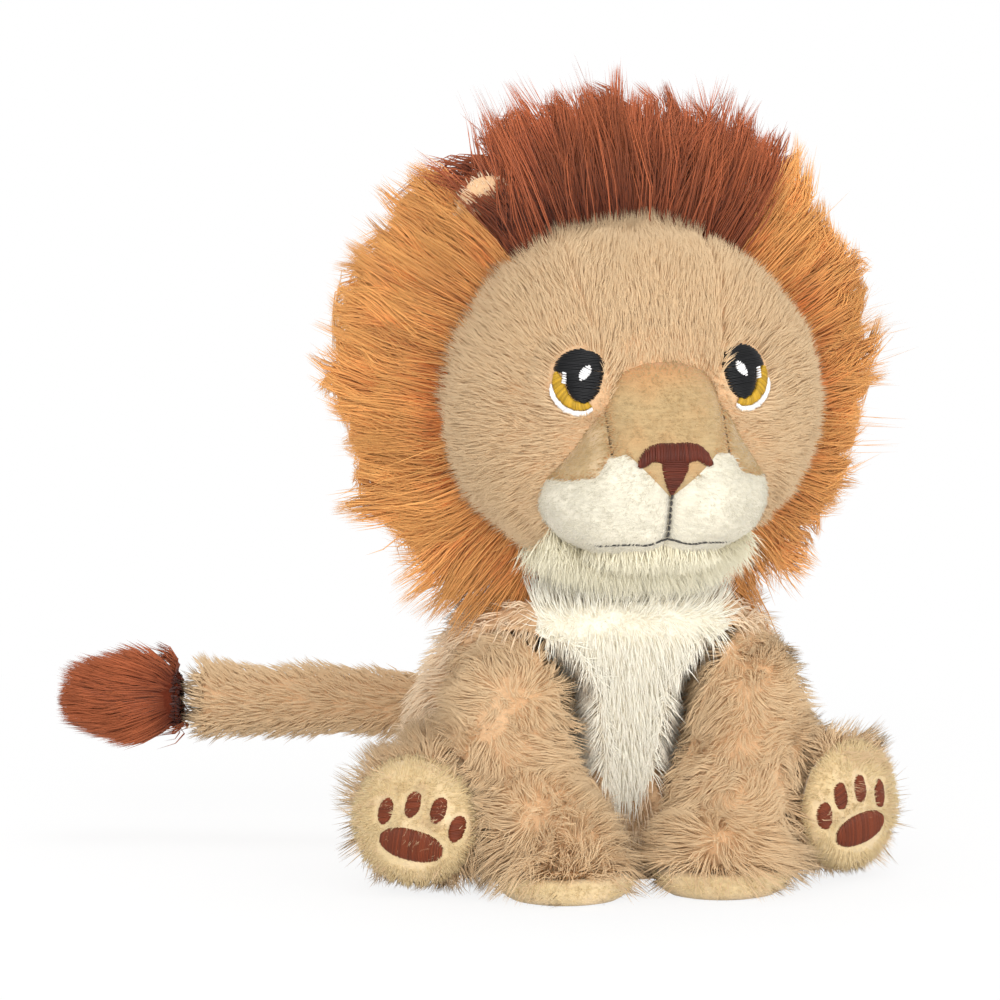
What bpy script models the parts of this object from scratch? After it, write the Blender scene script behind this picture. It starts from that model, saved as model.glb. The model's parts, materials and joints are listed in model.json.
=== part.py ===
"""A seated plush lion, about 200 mm tall, made of the pieces that a soft toy is sewn from.

A stuffed torso sits on a flat seat panel over a bag of pellets. A neck plug joins it to the head,
which has a sewn muzzle, an embroidered face, two ears and a mane in three pieces. Four stuffed
legs and a tufted tail are sewn into the torso.

Lengths are in metres and +Z is up. The lion faces -Y, its own left side is at +X, and the origin
is on the floor, under the seat panel.
"""

import math

import bmesh
import bpy
import numpy as np
from mathutils import Matrix, Vector
from mathutils.bvhtree import BVHTree

MM = 0.001
UP = Vector((0, 0, 1))
ACROSS = Vector((1, 0, 0))
BACKWARD = Vector((0, 1, 0))
QUARTER_TURN = math.pi / 2

# Cloth, thread and the space between pieces
SEAM_GAP = 0.35 * MM
SOCKET_GAP = 0.6 * MM
PLUSH_THICKNESS = 4 * MM
VELBOA_THICKNESS = 2 * MM
THREAD_THICKNESS = 0.8 * MM
THREAD_WIDTH = 1.2 * MM
CUT_OVERRUN = 90 * MM

# Torso, with rows of height, half width, half depth and set back
TORSO_HALF_WIDTH = 47 * MM
TORSO_HALF_DEPTH = 38 * MM
TORSO_HEIGHT = 72 * MM
TORSO_SECTION_SHARES = (
    (0.000, 0.790, 0.790, 0.450),
    (0.055, 0.870, 0.895, 0.475),
    (0.167, 0.957, 0.947, 0.500),
    (0.347, 1.000, 1.000, 0.447),
    (0.556, 0.979, 0.987, 0.329),
    (0.722, 0.894, 0.947, 0.184),
    (0.861, 0.810, 0.842, 0.000),
    (0.944, 0.660, 0.684, -0.158),
    (1.000, 0.447, 0.526, -0.263),
)
# The white chest, as half width of the torso at a height of the torso
CHEST_OUTLINE_SHARES = (
    (0.56, 1.0),
    (0.51, 0.86),
    (0.42, 0.70),
    (0.39, 0.53),
    (0.12, 0.36),
    (0.05, 0.27),
)
# How far the chest panel goes behind the neck's centre, in its radius
CHEST_BACK_SHARE = 0.125
# How far the belly panel goes beyond the hips and below the shoulders, in a leg's radius
BELLY_SIDE_SHARE = 0.0625
BELLY_BACK_SHARE = 0.125
BELLY_TOP_SHARE = 0.25

# Bag of pellets, lying on the seat panel
BAG_HALF_WIDTH = 24 * MM
BAG_HALF_DEPTH = 19 * MM
BAG_HALF_HEIGHT = 9.5 * MM
BAG_SETBACK = 8 * MM

# Neck plug
NECK_RADIUS = 16 * MM
NECK_RISE = 4 * MM

# Head
HEAD_HALF_WIDTH = 45 * MM
HEAD_HALF_DEPTH = 36 * MM
HEAD_HALF_HEIGHT = 41 * MM
HEAD_FORWARD = 11 * MM
HEAD_SINK = 1 * MM
FACE_SEAM_SETBACK = 8 * MM
FOREHEAD_SHARE = 0.355
FOREHEAD_FOOT_SHARE = 0.27
CHIN_WIDTH_SHARE = 0.49
CHIN_TOP_SHARE = 0.71

# Muzzle, with rows of drop from its top, half width and depth
MUZZLE_HALF_WIDTH = 27.5 * MM
MUZZLE_DEPTH = 25.5 * MM
MUZZLE_HEIGHT = 46 * MM
MUZZLE_RISE = 12 * MM
MUZZLE_ROOT_SHARE = 0.528
MUZZLE_SQUARENESS = 2.5
MUZZLE_BACK_SHARE = 0.125
MUZZLE_SECTION_SHARES = (
    (0.000, 0.473, 0.608),
    (0.174, 0.564, 0.804),
    (0.348, 0.690, 0.960),
    (0.478, 0.873, 1.000),
    (0.609, 1.000, 0.922),
    (0.739, 1.000, 0.863),
    (0.870, 0.873, 0.745),
    (0.957, 0.582, 0.510),
    (1.000, 0.290, 0.314),
)
BRIDGE_HALF_WIDTH = 14.5 * MM
LOBE_TOP_SHARES = ((0.0, 0.674), (0.545, 0.446), (0.690, 0.587), (1.5, 0.609))

# Nose and mouth, in thread on the muzzle
NOSE_HALF_WIDTH = 9 * MM
NOSE_HALF_HEIGHT = 2.5 * MM
NOSE_SQUARENESS = 3
NOSE_DROP = 19 * MM
NOSE_STEM_HEIGHT = 6 * MM
NOSE_STEM_HALF_WIDTH = 4 * MM
NOSE_STEM_FOOT_SHARE = 0.25
MOUTH_DROP = 40 * MM
MOUTH_HALF_WIDTH = 16 * MM
MOUTH_SAG = 1.6 * MM

# Eyes, in thread on the head, with ellipses placed and sized in shares of the whole eye
EYE_HALF_WIDTH = 6.3 * MM
EYE_HALF_HEIGHT = 7.6 * MM
EYE_SPREAD = 21 * MM
EYE_RISE = 9.5 * MM
WHITE_SHARES = (0.0, 0.0, 1.0, 1.0)
IRIS_SHARES = (-0.06, 0.09, 0.87, 0.86)
PUPIL_SHARES = (-0.13, 0.20, 0.80, 0.76)
GLINT_SHARES = (0.06, 0.36, 0.17, 0.20)
CRESCENT_ANGLES = (math.radians(175), math.radians(325))

# Mane, with rows of set back, half width, half height and lift
MANE_HALF_WIDTH = 66 * MM
MANE_HALF_HEIGHT = 64 * MM
MANE_DEPTH = 53 * MM
MANE_LIFT = 5 * MM
MANE_SECTION_SHARES = (
    (0.030, 0.770, 0.765, 0.2),
    (0.140, 0.910, 0.910, 0.6),
    (0.360, 1.000, 1.000, 1.0),
    (0.560, 0.960, 0.960, 0.9),
    (0.760, 0.820, 0.820, 0.6),
    (0.910, 0.590, 0.590, 0.2),
    (1.000, 0.240, 0.235, 0.0),
)
CROWN_ANGLE = math.radians(38)
HEM_RISE = 1 * MM
HEM_FLAT_RADIUS = 24 * MM
HEM_SLOPE = 0.11

# Ears
EAR_HALF_WIDTH = 11 * MM
EAR_HALF_THICKNESS = 3 * MM
EAR_HALF_HEIGHT = 16 * MM
EAR_TILT = math.radians(33)
EAR_SETBACK = 16 * MM
EAR_ROOT_SINK = 2 * MM

# Front legs, with rows of drop from the shoulder, radius and lean toward the paw
FRONT_LEG_RADIUS = 17 * MM
FRONT_PAW_SPACING = 4 * MM
FRONT_PAW_REACH = 17 * MM
FRONT_SOLE_THICKNESS = 2 * MM
SHOULDER_SHARES = (0.617, -0.447, 0.611)
SHOULDER_GAP = 0.85 * MM
# How much fuller than the leg its room in the torso is toward the middle, in the leg's radius
SHOULDER_ROOM_SHARE = 0.14
# Rows of the leg's sections that the fuller part of the room reaches down to
SHOULDER_ROOM_ROWS = 3
FRONT_LEG_SECTION_SHARES = (
    (0.00, 1.000, 0.00),
    (0.14, 1.000, 0.03),
    (0.28, 0.970, 0.20),
    (0.59, 0.970, 0.80),
    (0.82, 0.970, 1.00),
    (0.93, 0.900, 1.00),
    (1.00, 0.740, 1.00),
)

# Hind legs, with rows of distance from the hip and radius
HIND_LEG_RADIUS = 17.5 * MM
HIND_LEG_LENGTH = 34.3 * MM
HIND_LEG_CLEARANCE = 0.4 * MM
HIND_LEG_HOLLOW_GAP = 2.7 * MM
HIND_LEG_FLOOR_GAP = 0.5 * MM
HIND_LEG_ANGLE = math.radians(33)
HIND_LEG_SPLAY = math.radians(20)
HIP_SETBACK_SHARE = 0.158
HIND_SOLE_CROWN = 2.5 * MM
HIND_SOLE_DOME = math.radians(78)
HIND_LEG_SECTION_SHARES = (
    (0.00, 1.000),
    (0.35, 1.000),
    (0.70, 0.980),
    (0.90, 0.920),
    (1.00, 0.857),
)
ROOM_SQUARENESS = 2.2
PAD_ROLL = math.radians(10)
# Pads, with place toward the inner side, place up, half width and half height in shares of the sole
PAD_SHARES = {
    "pad": (0.00, -0.35, 0.52, 0.28),
    "toe_1": (-0.42, 0.24, 0.14, 0.21),
    "toe_2": (0.08, 0.33, 0.14, 0.21),
    "toe_3": (0.50, 0.24, 0.14, 0.21),
    "toe_4": (0.76, -0.08, 0.14, 0.21),
}

# Tail, swept to the lion's right at rest
TAIL_BASE_RADIUS = 6.5 * MM
TAIL_RADIUS = 9 * MM
TAIL_TUFT_RADIUS = 10.5 * MM
TAIL_SHAFT_LENGTH = 88 * MM
TAIL_TUFT_LENGTH = 30 * MM
TAIL_HEIGHT = 33 * MM
TAIL_SINK = 2 * MM
TAIL_SOCKET_RADIUS = 24 * MM
TAIL_ANGLE = math.radians(162.5)
# Where the tuft's round profile starts and how far it runs, in half turns
TUFT_START_SHARE = 0.3
TUFT_SPAN_SHARE = 0.68

# Facets, and the loops inside a wide patch of thread
PAD_LOOPS_SHARES = (1.0, 0.66, 0.33)
BODY_SIDES = 20
LIMB_SIDES = 16
FILLING_BODY_SIDES = 10
FILLING_LIMB_SIDES = 8
THREAD_SIDES = 12
BALL_RINGS = 10
EAR_RINGS = 6
DOME_STEPS = 3
DOME_TIP_SHARE = 0.6
TORSO_RINGS = 10
SMOOTH_ANGLE = math.radians(40)

# Roughness, and colours as linear red, green and blue
CLOTH_ROUGHNESS = 0.9
THREAD_ROUGHNESS = 0.5
TAN = (0.73, 0.52, 0.31)
CREAM = (0.86, 0.80, 0.61)
ORANGE = (0.75, 0.28, 0.07)
BROWN = (0.26, 0.08, 0.03)
BEIGE = (0.67, 0.49, 0.26)
WHITE = (0.86, 0.82, 0.68)
SOLE_CREAM = (0.81, 0.66, 0.42)
DARK_BROWN = (0.15, 0.03, 0.02)
BLACK = (0.017, 0.017, 0.02)
GOLD = (0.61, 0.38, 0.03)
FIBRE_WHITE = (0.85, 0.85, 0.83)
GREY = (0.25, 0.25, 0.25)

# Places that follow from the sizes
FLOOR_OF_SKIN = VELBOA_THICKNESS + SEAM_GAP
NECK_CENTRE = Vector((0, TORSO_SECTION_SHARES[-1][3] * TORSO_HALF_DEPTH, TORSO_HEIGHT + NECK_RISE))
HEAD_CENTRE = NECK_CENTRE + Vector((0, -HEAD_FORWARD, HEAD_HALF_HEIGHT - HEAD_SINK))
HEAD_HALVES = Vector((HEAD_HALF_WIDTH, HEAD_HALF_DEPTH, HEAD_HALF_HEIGHT))
MUZZLE_TOP = HEAD_CENTRE + Vector((0, -MUZZLE_ROOT_SHARE * HEAD_HALF_DEPTH, MUZZLE_RISE))
SHOULDER = Vector(
    (
        SHOULDER_SHARES[0] * TORSO_HALF_WIDTH,
        SHOULDER_SHARES[1] * TORSO_HALF_DEPTH,
        SHOULDER_SHARES[2] * TORSO_HEIGHT,
    )
)
FRONT_PAW = Vector((FRONT_LEG_RADIUS + FRONT_PAW_SPACING / 2, SHOULDER.y - FRONT_PAW_REACH, 0))
HIP_Y = HIP_SETBACK_SHARE * TORSO_HALF_DEPTH


def hip_place():
    """The left hip, set out until its leg passes beside the front paw."""
    paw_radius = FRONT_LEG_SECTION_SHARES[3][1] * FRONT_LEG_RADIUS
    spacing = paw_radius + HIND_LEG_RADIUS + HIND_LEG_CLEARANCE
    along = math.sin(HIND_LEG_ANGLE) * (FRONT_PAW.y - HIP_Y)
    x = FRONT_PAW.x + (spacing + along) / math.cos(HIND_LEG_ANGLE)
    return Vector((x, HIP_Y, HIND_LEG_RADIUS + HIND_LEG_FLOOR_GAP))


HIP = hip_place()


def smooth_rows(rows, count):
    """The rows drawn again, evenly spaced, along a smooth curve through each column."""
    table = np.array(rows, float)
    stops = np.linspace(0, len(table) - 1, count)
    slopes = np.gradient(table, axis=0)
    drawn = []
    for stop in stops:
        first = min(int(stop), len(table) - 2)
        t = stop - first
        start = (2 * t**3 - 3 * t**2 + 1) * table[first] + (t**3 - 2 * t**2 + t) * slopes[first]
        finish = (3 * t**2 - 2 * t**3) * table[first + 1] + (t**3 - t**2) * slopes[first + 1]
        drawn.append(start + finish)
    return drawn


def rounded(value, squareness):
    """A unit circle's coordinate moved out toward the square."""
    return math.copysign(abs(value) ** (2 / squareness), value)


def add_ring(bm, centre, across, along, half_across, half_along, sides, squareness=2):
    """A closed loop round a centre, an ellipse or a boxier oval."""
    ring = bmesh.ops.create_circle(bm, segments=sides, radius=1)["verts"]
    for vert in ring:
        a = rounded(vert.co.x, squareness) * half_across
        b = rounded(vert.co.y, squareness) * half_along
        vert.co = centre + across * a + along * b
    return sorted({edge for vert in ring for edge in vert.link_edges}, key=lambda edge: edge.index)


def loft(rings, sides, across, along, squareness=2):
    """A closed form through rings of a centre, a half width and a half depth."""
    bm = bmesh.new()
    loops = [add_ring(bm, centre, across, along, a, b, sides, squareness) for centre, a, b in rings]
    for lower, upper in zip(loops, loops[1:]):
        bmesh.ops.bridge_loops(bm, edges=lower + upper)
    for end in (loops[0], loops[-1]):
        bmesh.ops.edgeloop_fill(bm, edges=end)
    bmesh.ops.recalc_face_normals(bm, faces=bm.faces)
    bmesh.ops.triangulate(bm, faces=bm.faces)
    return bm


def dome_rings(centre, axis, radius):
    """Rings of half a ball, from near its tip along the axis down to its equator."""
    rings = []
    for step in range(1, DOME_STEPS + 1):
        angle = QUARTER_TURN * (1 - (step - DOME_TIP_SHARE) / DOME_STEPS)
        ring_radius = radius * math.cos(angle)
        rings.append((centre + axis * (radius * math.sin(angle)), ring_radius, ring_radius))
    return rings


def ellipsoid(centre, halves, sides=BODY_SIDES):
    bm = bmesh.new()
    shape = Matrix.Translation(centre) @ Matrix.Diagonal((*halves, 1))
    bmesh.ops.create_uvsphere(bm, u_segments=sides, v_segments=BALL_RINGS, radius=1, matrix=shape)
    return bm


def ball(centre, radius, sides=BODY_SIDES):
    return ellipsoid(centre, (radius, radius, radius), sides)


def block(low, high):
    bm = bmesh.new()
    middle = (Vector(low) + Vector(high)) / 2
    size = Vector(high) - Vector(low)
    shape = Matrix.Translation(middle) @ Matrix.Diagonal((*size, 1))
    bmesh.ops.create_cube(bm, size=1, matrix=shape)
    return bm


def prism(outline, near, far):
    """An outline of X and Z places, extruded along Y."""
    bm = bmesh.new()
    face = bm.faces.new([bm.verts.new((x, near, z)) for x, z in outline])
    made = bmesh.ops.extrude_face_region(bm, geom=[face])["geom"]
    moved = [item for item in made if isinstance(item, bmesh.types.BMVert)]
    bmesh.ops.translate(bm, verts=moved, vec=BACKWARD * (far - near))
    bmesh.ops.recalc_face_normals(bm, faces=bm.faces)
    return bm


def cloth(name, colour, roughness=CLOTH_ROUGHNESS):
    material = bpy.data.materials.get(name) or bpy.data.materials.new(name)
    material.use_nodes = True
    shader = material.node_tree.nodes["Principled BSDF"]
    shader.inputs["Base Color"].default_value = (*colour, 1)
    shader.inputs["Roughness"].default_value = roughness
    shader.inputs["Metallic"].default_value = 0
    return material


def add_object(name, bm):
    mesh = bpy.data.meshes.new(name)
    bm.to_mesh(mesh)
    bm.free()
    mesh.shade_smooth()
    mesh.set_sharp_from_angle(angle=SMOOTH_ANGLE)
    obj = bpy.data.objects.new(name, mesh)
    bpy.context.scene.collection.objects.link(obj)
    return obj


def cutter(name, bm):
    """A shape that only cuts others, left out of the render."""
    obj = add_object("cut_" + name, bm)
    obj.hide_render = True
    obj.display_type = "WIRE"
    return obj


def change(obj, other, operation):
    modifier = obj.modifiers.new(other.name, "BOOLEAN")
    modifier.operation = operation
    modifier.object = other


def piece(name, bm, material, pivot, keep=(), cut=(), join=()):
    """A piece of the toy, cut to shape in world space and hung on its pivot."""
    obj = add_object(name, bm)
    obj.data.materials.append(material)
    obj.data.transform(Matrix.Translation(-pivot.location))
    obj.parent = pivot
    for other in join:
        change(obj, other, "UNION")
    for other in keep:
        change(obj, other, "INTERSECT")
    for other in cut:
        change(obj, other, "DIFFERENCE")
    return obj


def pivot_at(name, place):
    """An empty on a joint's axis."""
    empty = bpy.data.objects.new(name, None)
    bpy.context.scene.collection.objects.link(empty)
    empty.location = place
    return empty


def mirrored(place, side):
    """A place given on the left, on this side."""
    return Vector((side * place.x, place.y, place.z))


def torso_sizes():
    """Smooth rows of height, half width, half depth and centre."""
    units = (TORSO_HEIGHT, TORSO_HALF_WIDTH, TORSO_HALF_DEPTH, TORSO_HALF_DEPTH)
    rows = smooth_rows(TORSO_SECTION_SHARES, TORSO_RINGS)
    return [[share * unit for share, unit in zip(row, units)] for row in rows]


def torso_at(height):
    """The torso's half width, half depth and centre at a height."""
    heights, *columns = zip(*torso_sizes())
    return [float(np.interp(height, heights, column)) for column in columns]


def torso_form(inset, floor, sides=BODY_SIDES):
    """The torso's shape, drawn in all round by the inset and cut off at a floor."""
    squeeze = (TORSO_HEIGHT - inset) / TORSO_HEIGHT
    lowest = max(floor, 0)
    foot = (floor / squeeze, *torso_at(lowest))
    above = [row for row in torso_sizes() if row[0] * squeeze > lowest + SEAM_GAP]
    rings = [(Vector((0, y, z * squeeze)), a - inset, b - inset) for z, a, b, y in [foot, *above]]
    return loft(rings, sides, ACROSS, BACKWARD)


def muzzle_form(inset, sides=BODY_SIDES):
    """The muzzle's shape, drawn in all round by the inset."""
    squeeze = (MUZZLE_HEIGHT - 2 * inset) / MUZZLE_HEIGHT
    rings = []
    for drop, wide, deep in MUZZLE_SECTION_SHARES:
        centre = MUZZLE_TOP - UP * (inset + drop * MUZZLE_HEIGHT * squeeze)
        half_width = max(wide * MUZZLE_HALF_WIDTH - inset, inset)
        half_depth = max(deep * MUZZLE_DEPTH - inset, inset)
        rings.append((centre, half_width, half_depth))
    return loft(rings, sides, ACROSS, BACKWARD, MUZZLE_SQUARENESS)


def mane_form():
    """The mane's outer shape, from the face seam back."""
    seam = FACE_SEAM_SETBACK + SEAM_GAP
    at_seam = math.sqrt(1 - (seam / HEAD_HALF_DEPTH) ** 2)
    rings = [(HEAD_CENTRE + BACKWARD * seam, at_seam * HEAD_HALF_WIDTH, at_seam * HEAD_HALF_HEIGHT)]
    for back, wide, tall, lift in MANE_SECTION_SHARES:
        behind = BACKWARD * (FACE_SEAM_SETBACK + back * MANE_DEPTH)
        centre = HEAD_CENTRE + behind + UP * (lift * MANE_LIFT)
        rings.append((centre, wide * MANE_HALF_WIDTH, tall * MANE_HALF_HEIGHT))
    return loft(rings, BODY_SIDES, ACROSS, UP)


def below_hem():
    """All that the mane leaves free over the shoulders, turned about the neck."""
    outer = HEM_FLAT_RADIUS + CUT_OVERRUN
    top = NECK_CENTRE + UP * HEM_RISE
    edge = top - UP * (HEM_SLOPE * CUT_OVERRUN)
    rings = [
        (edge - UP * CUT_OVERRUN, outer, outer),
        (edge, outer, outer),
        (top, HEM_FLAT_RADIUS, HEM_FLAT_RADIUS),
    ]
    return loft(rings, BODY_SIDES, ACROSS, BACKWARD)


def front_leg_form(side, grow, foot, sides=LIMB_SIDES):
    """A leg with a ball at the shoulder, leaning in to its paw and cut off at a foot height."""
    shoulder = mirrored(SHOULDER, side)
    paw = mirrored(FRONT_PAW, side)
    rings = dome_rings(shoulder, UP, FRONT_LEG_RADIUS + grow)
    for drop, size, lean in FRONT_LEG_SECTION_SHARES:
        height = foot + (SHOULDER.z - foot) * (1 - drop)
        place = shoulder.lerp(paw, lean)
        ring_radius = size * FRONT_LEG_RADIUS + grow
        rings.append((Vector((place.x, place.y, height)), ring_radius, ring_radius))
    return loft(rings, sides, ACROSS, BACKWARD)


def front_leg_room(side):
    """What a front leg sweeps in the torso, fuller than its ball toward the middle and squarer."""
    shoulder = mirrored(SHOULDER, side)
    paw = mirrored(FRONT_PAW, side)
    radius = FRONT_LEG_RADIUS + SHOULDER_GAP
    fuller = SHOULDER_ROOM_SHARE * FRONT_LEG_RADIUS / 2
    inward = ACROSS * (-side * fuller)
    rings = []
    for centre, ring_radius, _ in dome_rings(shoulder, UP, radius):
        squarer = (radius + fuller) * math.sqrt(ring_radius / radius)
        rings.append((centre + inward, squarer, ring_radius))
    for row, (drop, size, lean) in enumerate(FRONT_LEG_SECTION_SHARES):
        place = shoulder.lerp(paw, lean)
        centre = Vector((place.x, place.y, SHOULDER.z * (1 - drop) - SEAM_GAP * drop))
        ring_radius = size * FRONT_LEG_RADIUS + SHOULDER_GAP
        if row < SHOULDER_ROOM_ROWS:
            rings.append((centre + inward, ring_radius + fuller, ring_radius))
        else:
            rings.append((centre, ring_radius, ring_radius))
    return loft(rings, LIMB_SIDES, ACROSS, BACKWARD, ROOM_SQUARENESS)


def leg_axes(side, splay=0):
    """The hind leg's own directions: out along it, and across its sole."""
    angle = HIND_LEG_ANGLE + splay
    out = Vector((side * math.sin(angle), -math.cos(angle), 0))
    across = Vector((math.cos(angle), side * math.sin(angle), 0))
    return out, across


def hind_leg_form(side, grow, length, sides=LIMB_SIDES):
    """A leg with a ball at the hip, lying along the floor."""
    out, across = leg_axes(side)
    hip = mirrored(HIP, side)
    rings = dome_rings(hip, -out, HIND_LEG_RADIUS + grow)
    for along, size in HIND_LEG_SECTION_SHARES:
        ring_radius = size * HIND_LEG_RADIUS + grow
        rings.append((hip + out * (along * length), ring_radius, ring_radius))
    return loft(rings, sides, across, UP)


def hind_leg_room(side):
    """All that a hind leg sweeps, wider across than the leg by its splay."""
    half_splay = HIND_LEG_SPLAY / 2
    out, across = leg_axes(side, half_splay)
    hip = mirrored(HIP, side)
    radius = HIND_LEG_RADIUS + SOCKET_GAP
    rings = dome_rings(hip, -out, radius)
    for along in (0, HIND_LEG_LENGTH + PLUSH_THICKNESS):
        half_across = radius / math.cos(half_splay) + along * math.tan(half_splay)
        rings.append((hip + out * along, half_across, radius))
    return loft(rings, LIMB_SIDES, across, UP, ROOM_SQUARENESS)


def tail_directions():
    out = Vector((math.cos(TAIL_ANGLE), math.sin(TAIL_ANGLE), 0))
    return out, UP.cross(out)


def tail_pivot():
    """The tail's root, just inside the torso's back."""
    _, depth, centre = torso_at(TAIL_HEIGHT)
    return Vector((0, centre + depth - TAIL_SINK, TAIL_HEIGHT))


def tail_radius(along):
    """The tail's radius at a distance from its root."""
    swell = math.sin(min(along / TAIL_SHAFT_LENGTH, 1) * QUARTER_TURN)
    return TAIL_BASE_RADIUS + (TAIL_RADIUS - TAIL_BASE_RADIUS) * swell


def tail_tube(start, finish, inset, sides=LIMB_SIDES):
    """The tail's shaft between two distances from its root, with a rounded root."""
    out, aside = tail_directions()
    root = tail_pivot()
    rings = dome_rings(root + out * start, -out, TAIL_BASE_RADIUS - inset)
    for share in np.linspace(0, 1, DOME_STEPS + 1):
        along = start + (finish - start) * share
        radius = tail_radius(along) - inset
        rings.append((root + out * along, radius, radius))
    return loft(rings, sides, aside, UP)


def tail_tuft_form():
    out, aside = tail_directions()
    start = tail_pivot() + out * (TAIL_SHAFT_LENGTH + SEAM_GAP)
    rings = []
    for share in np.linspace(0, 1, 2 * DOME_STEPS):
        radius = TAIL_TUFT_RADIUS * math.sin(math.pi * (TUFT_START_SHARE + TUFT_SPAN_SHARE * share))
        rings.append((start + out * (TAIL_TUFT_LENGTH * share), radius, radius))
    return loft(rings, LIMB_SIDES, aside, UP)


def tail_socket():
    """What the tail sweeps in the torso, turned about its root."""
    root = tail_pivot()
    half = tail_radius(TAIL_SOCKET_RADIUS) + SOCKET_GAP
    rings = [(root + UP * place, TAIL_SOCKET_RADIUS, TAIL_SOCKET_RADIUS) for place in (-half, half)]
    return loft(rings, LIMB_SIDES, ACROSS, BACKWARD)


def on_head(x, z):
    """A point of the head's front at a place seen from the front."""
    a = x / HEAD_HALF_WIDTH
    b = (z - HEAD_CENTRE.z) / HEAD_HALF_HEIGHT
    return Vector((x, HEAD_CENTRE.y - HEAD_HALF_DEPTH * math.sqrt(1 - a * a - b * b), z))


class Ground:
    """A surface that thread is stitched on, seen along one direction."""

    def __init__(self, bm, origin, across, up, lift=0):
        self.tree = BVHTree.FromBMesh(bm)
        self.origin = origin
        self.across = across
        self.up = up
        self.out = across.cross(up)
        self.lift = lift

    def at(self, a, b, height):
        place = self.origin + self.across * a + self.up * b
        hit = self.tree.ray_cast(place + self.out * CUT_OVERRUN, -self.out)[0]
        if hit is None:
            hit = self.tree.find_nearest(place)[0]
        return hit + self.out * (SEAM_GAP + self.lift + height)


def rim(rows):
    """The vertices round the edge of a band of rows."""
    finish = [row[-1] for row in rows[1:-1]]
    start = [row[0] for row in rows[-2:0:-1]]
    return rows[0] + finish + rows[-1][::-1] + start


def stitched(ground, outline, rings):
    """A patch of thread: rows of places, each row a loop or a line, laid on the ground."""
    bm = bmesh.new()
    layers = []
    for height in (0, THREAD_THICKNESS):
        layers.append([[bm.verts.new(ground.at(a, b, height)) for a, b in row] for row in rings])
    for rows, order in zip(layers, (1, -1)):
        for first, second in zip(rows, rows[1:]):
            span = len(first) if outline == "loop" else len(first) - 1
            for k in range(span):
                n = (k + 1) % len(first)
                bm.faces.new((first[k], first[n], second[n], second[k])[::order])
    if outline == "loop":
        for rows, order in zip(layers, (1, -1)):
            bm.faces.new(rows[-1][::order])
        loop = list(zip(layers[0][0], layers[1][0]))
    else:
        loop = list(zip(rim(layers[0]), rim(layers[1])))
    for (a, b), (c, d) in zip(loop, loop[1:] + loop[:1]):
        bm.faces.new((a, c, d, b))
    bmesh.ops.recalc_face_normals(bm, faces=bm.faces)
    return bm


def oval_patch(ground, centre, halves, loops=(1,), roll=0, squareness=2):
    """An oval of thread, with loops inside it where it has to follow the ground."""
    rings = []
    for size in loops:
        ring = []
        for k in range(THREAD_SIDES):
            angle = 2 * math.pi * k / THREAD_SIDES
            a = rounded(math.cos(angle), squareness) * halves[0] * size
            b = rounded(math.sin(angle), squareness) * halves[1] * size
            turned = Matrix.Rotation(roll, 2) @ Vector((a, b))
            ring.append((centre[0] + turned.x, centre[1] + turned.y))
        rings.append(ring)
    return stitched(ground, "loop", rings)


def line_patch(ground, middle, half_widths):
    """A line of thread along the middle points, with a half width at each."""
    sides = ([], [])
    for k, (a, b) in enumerate(middle):
        before = Vector(middle[max(k - 1, 0)])
        after = Vector(middle[min(k + 1, len(middle) - 1)])
        along = (after - before).normalized()
        aside = Vector((-along.y, along.x)) * half_widths[k]
        sides[0].append((a + aside.x, b + aside.y))
        sides[1].append((a - aside.x, b - aside.y))
    return stitched(ground, "line", sides)


def crescent_patch(ground, side, outer, inner):
    """A crescent of thread between two ovals, on the lower outer side of the eye."""
    rows = ([], [])
    for angle in np.linspace(*CRESCENT_ANGLES, THREAD_SIDES):
        ends = []
        for across, up, wide, tall in (outer, inner):
            a = across + wide * math.cos(math.pi - angle)
            b = up + tall * math.sin(angle)
            ends.append(Vector((side * a * EYE_HALF_WIDTH, b * EYE_HALF_HEIGHT)))
        ends[1] = ends[1] + (ends[0] - ends[1]).normalized() * SEAM_GAP
        for row, end in zip(rows, ends):
            row.append(tuple(end))
    return stitched(ground, "line", rows)


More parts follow.
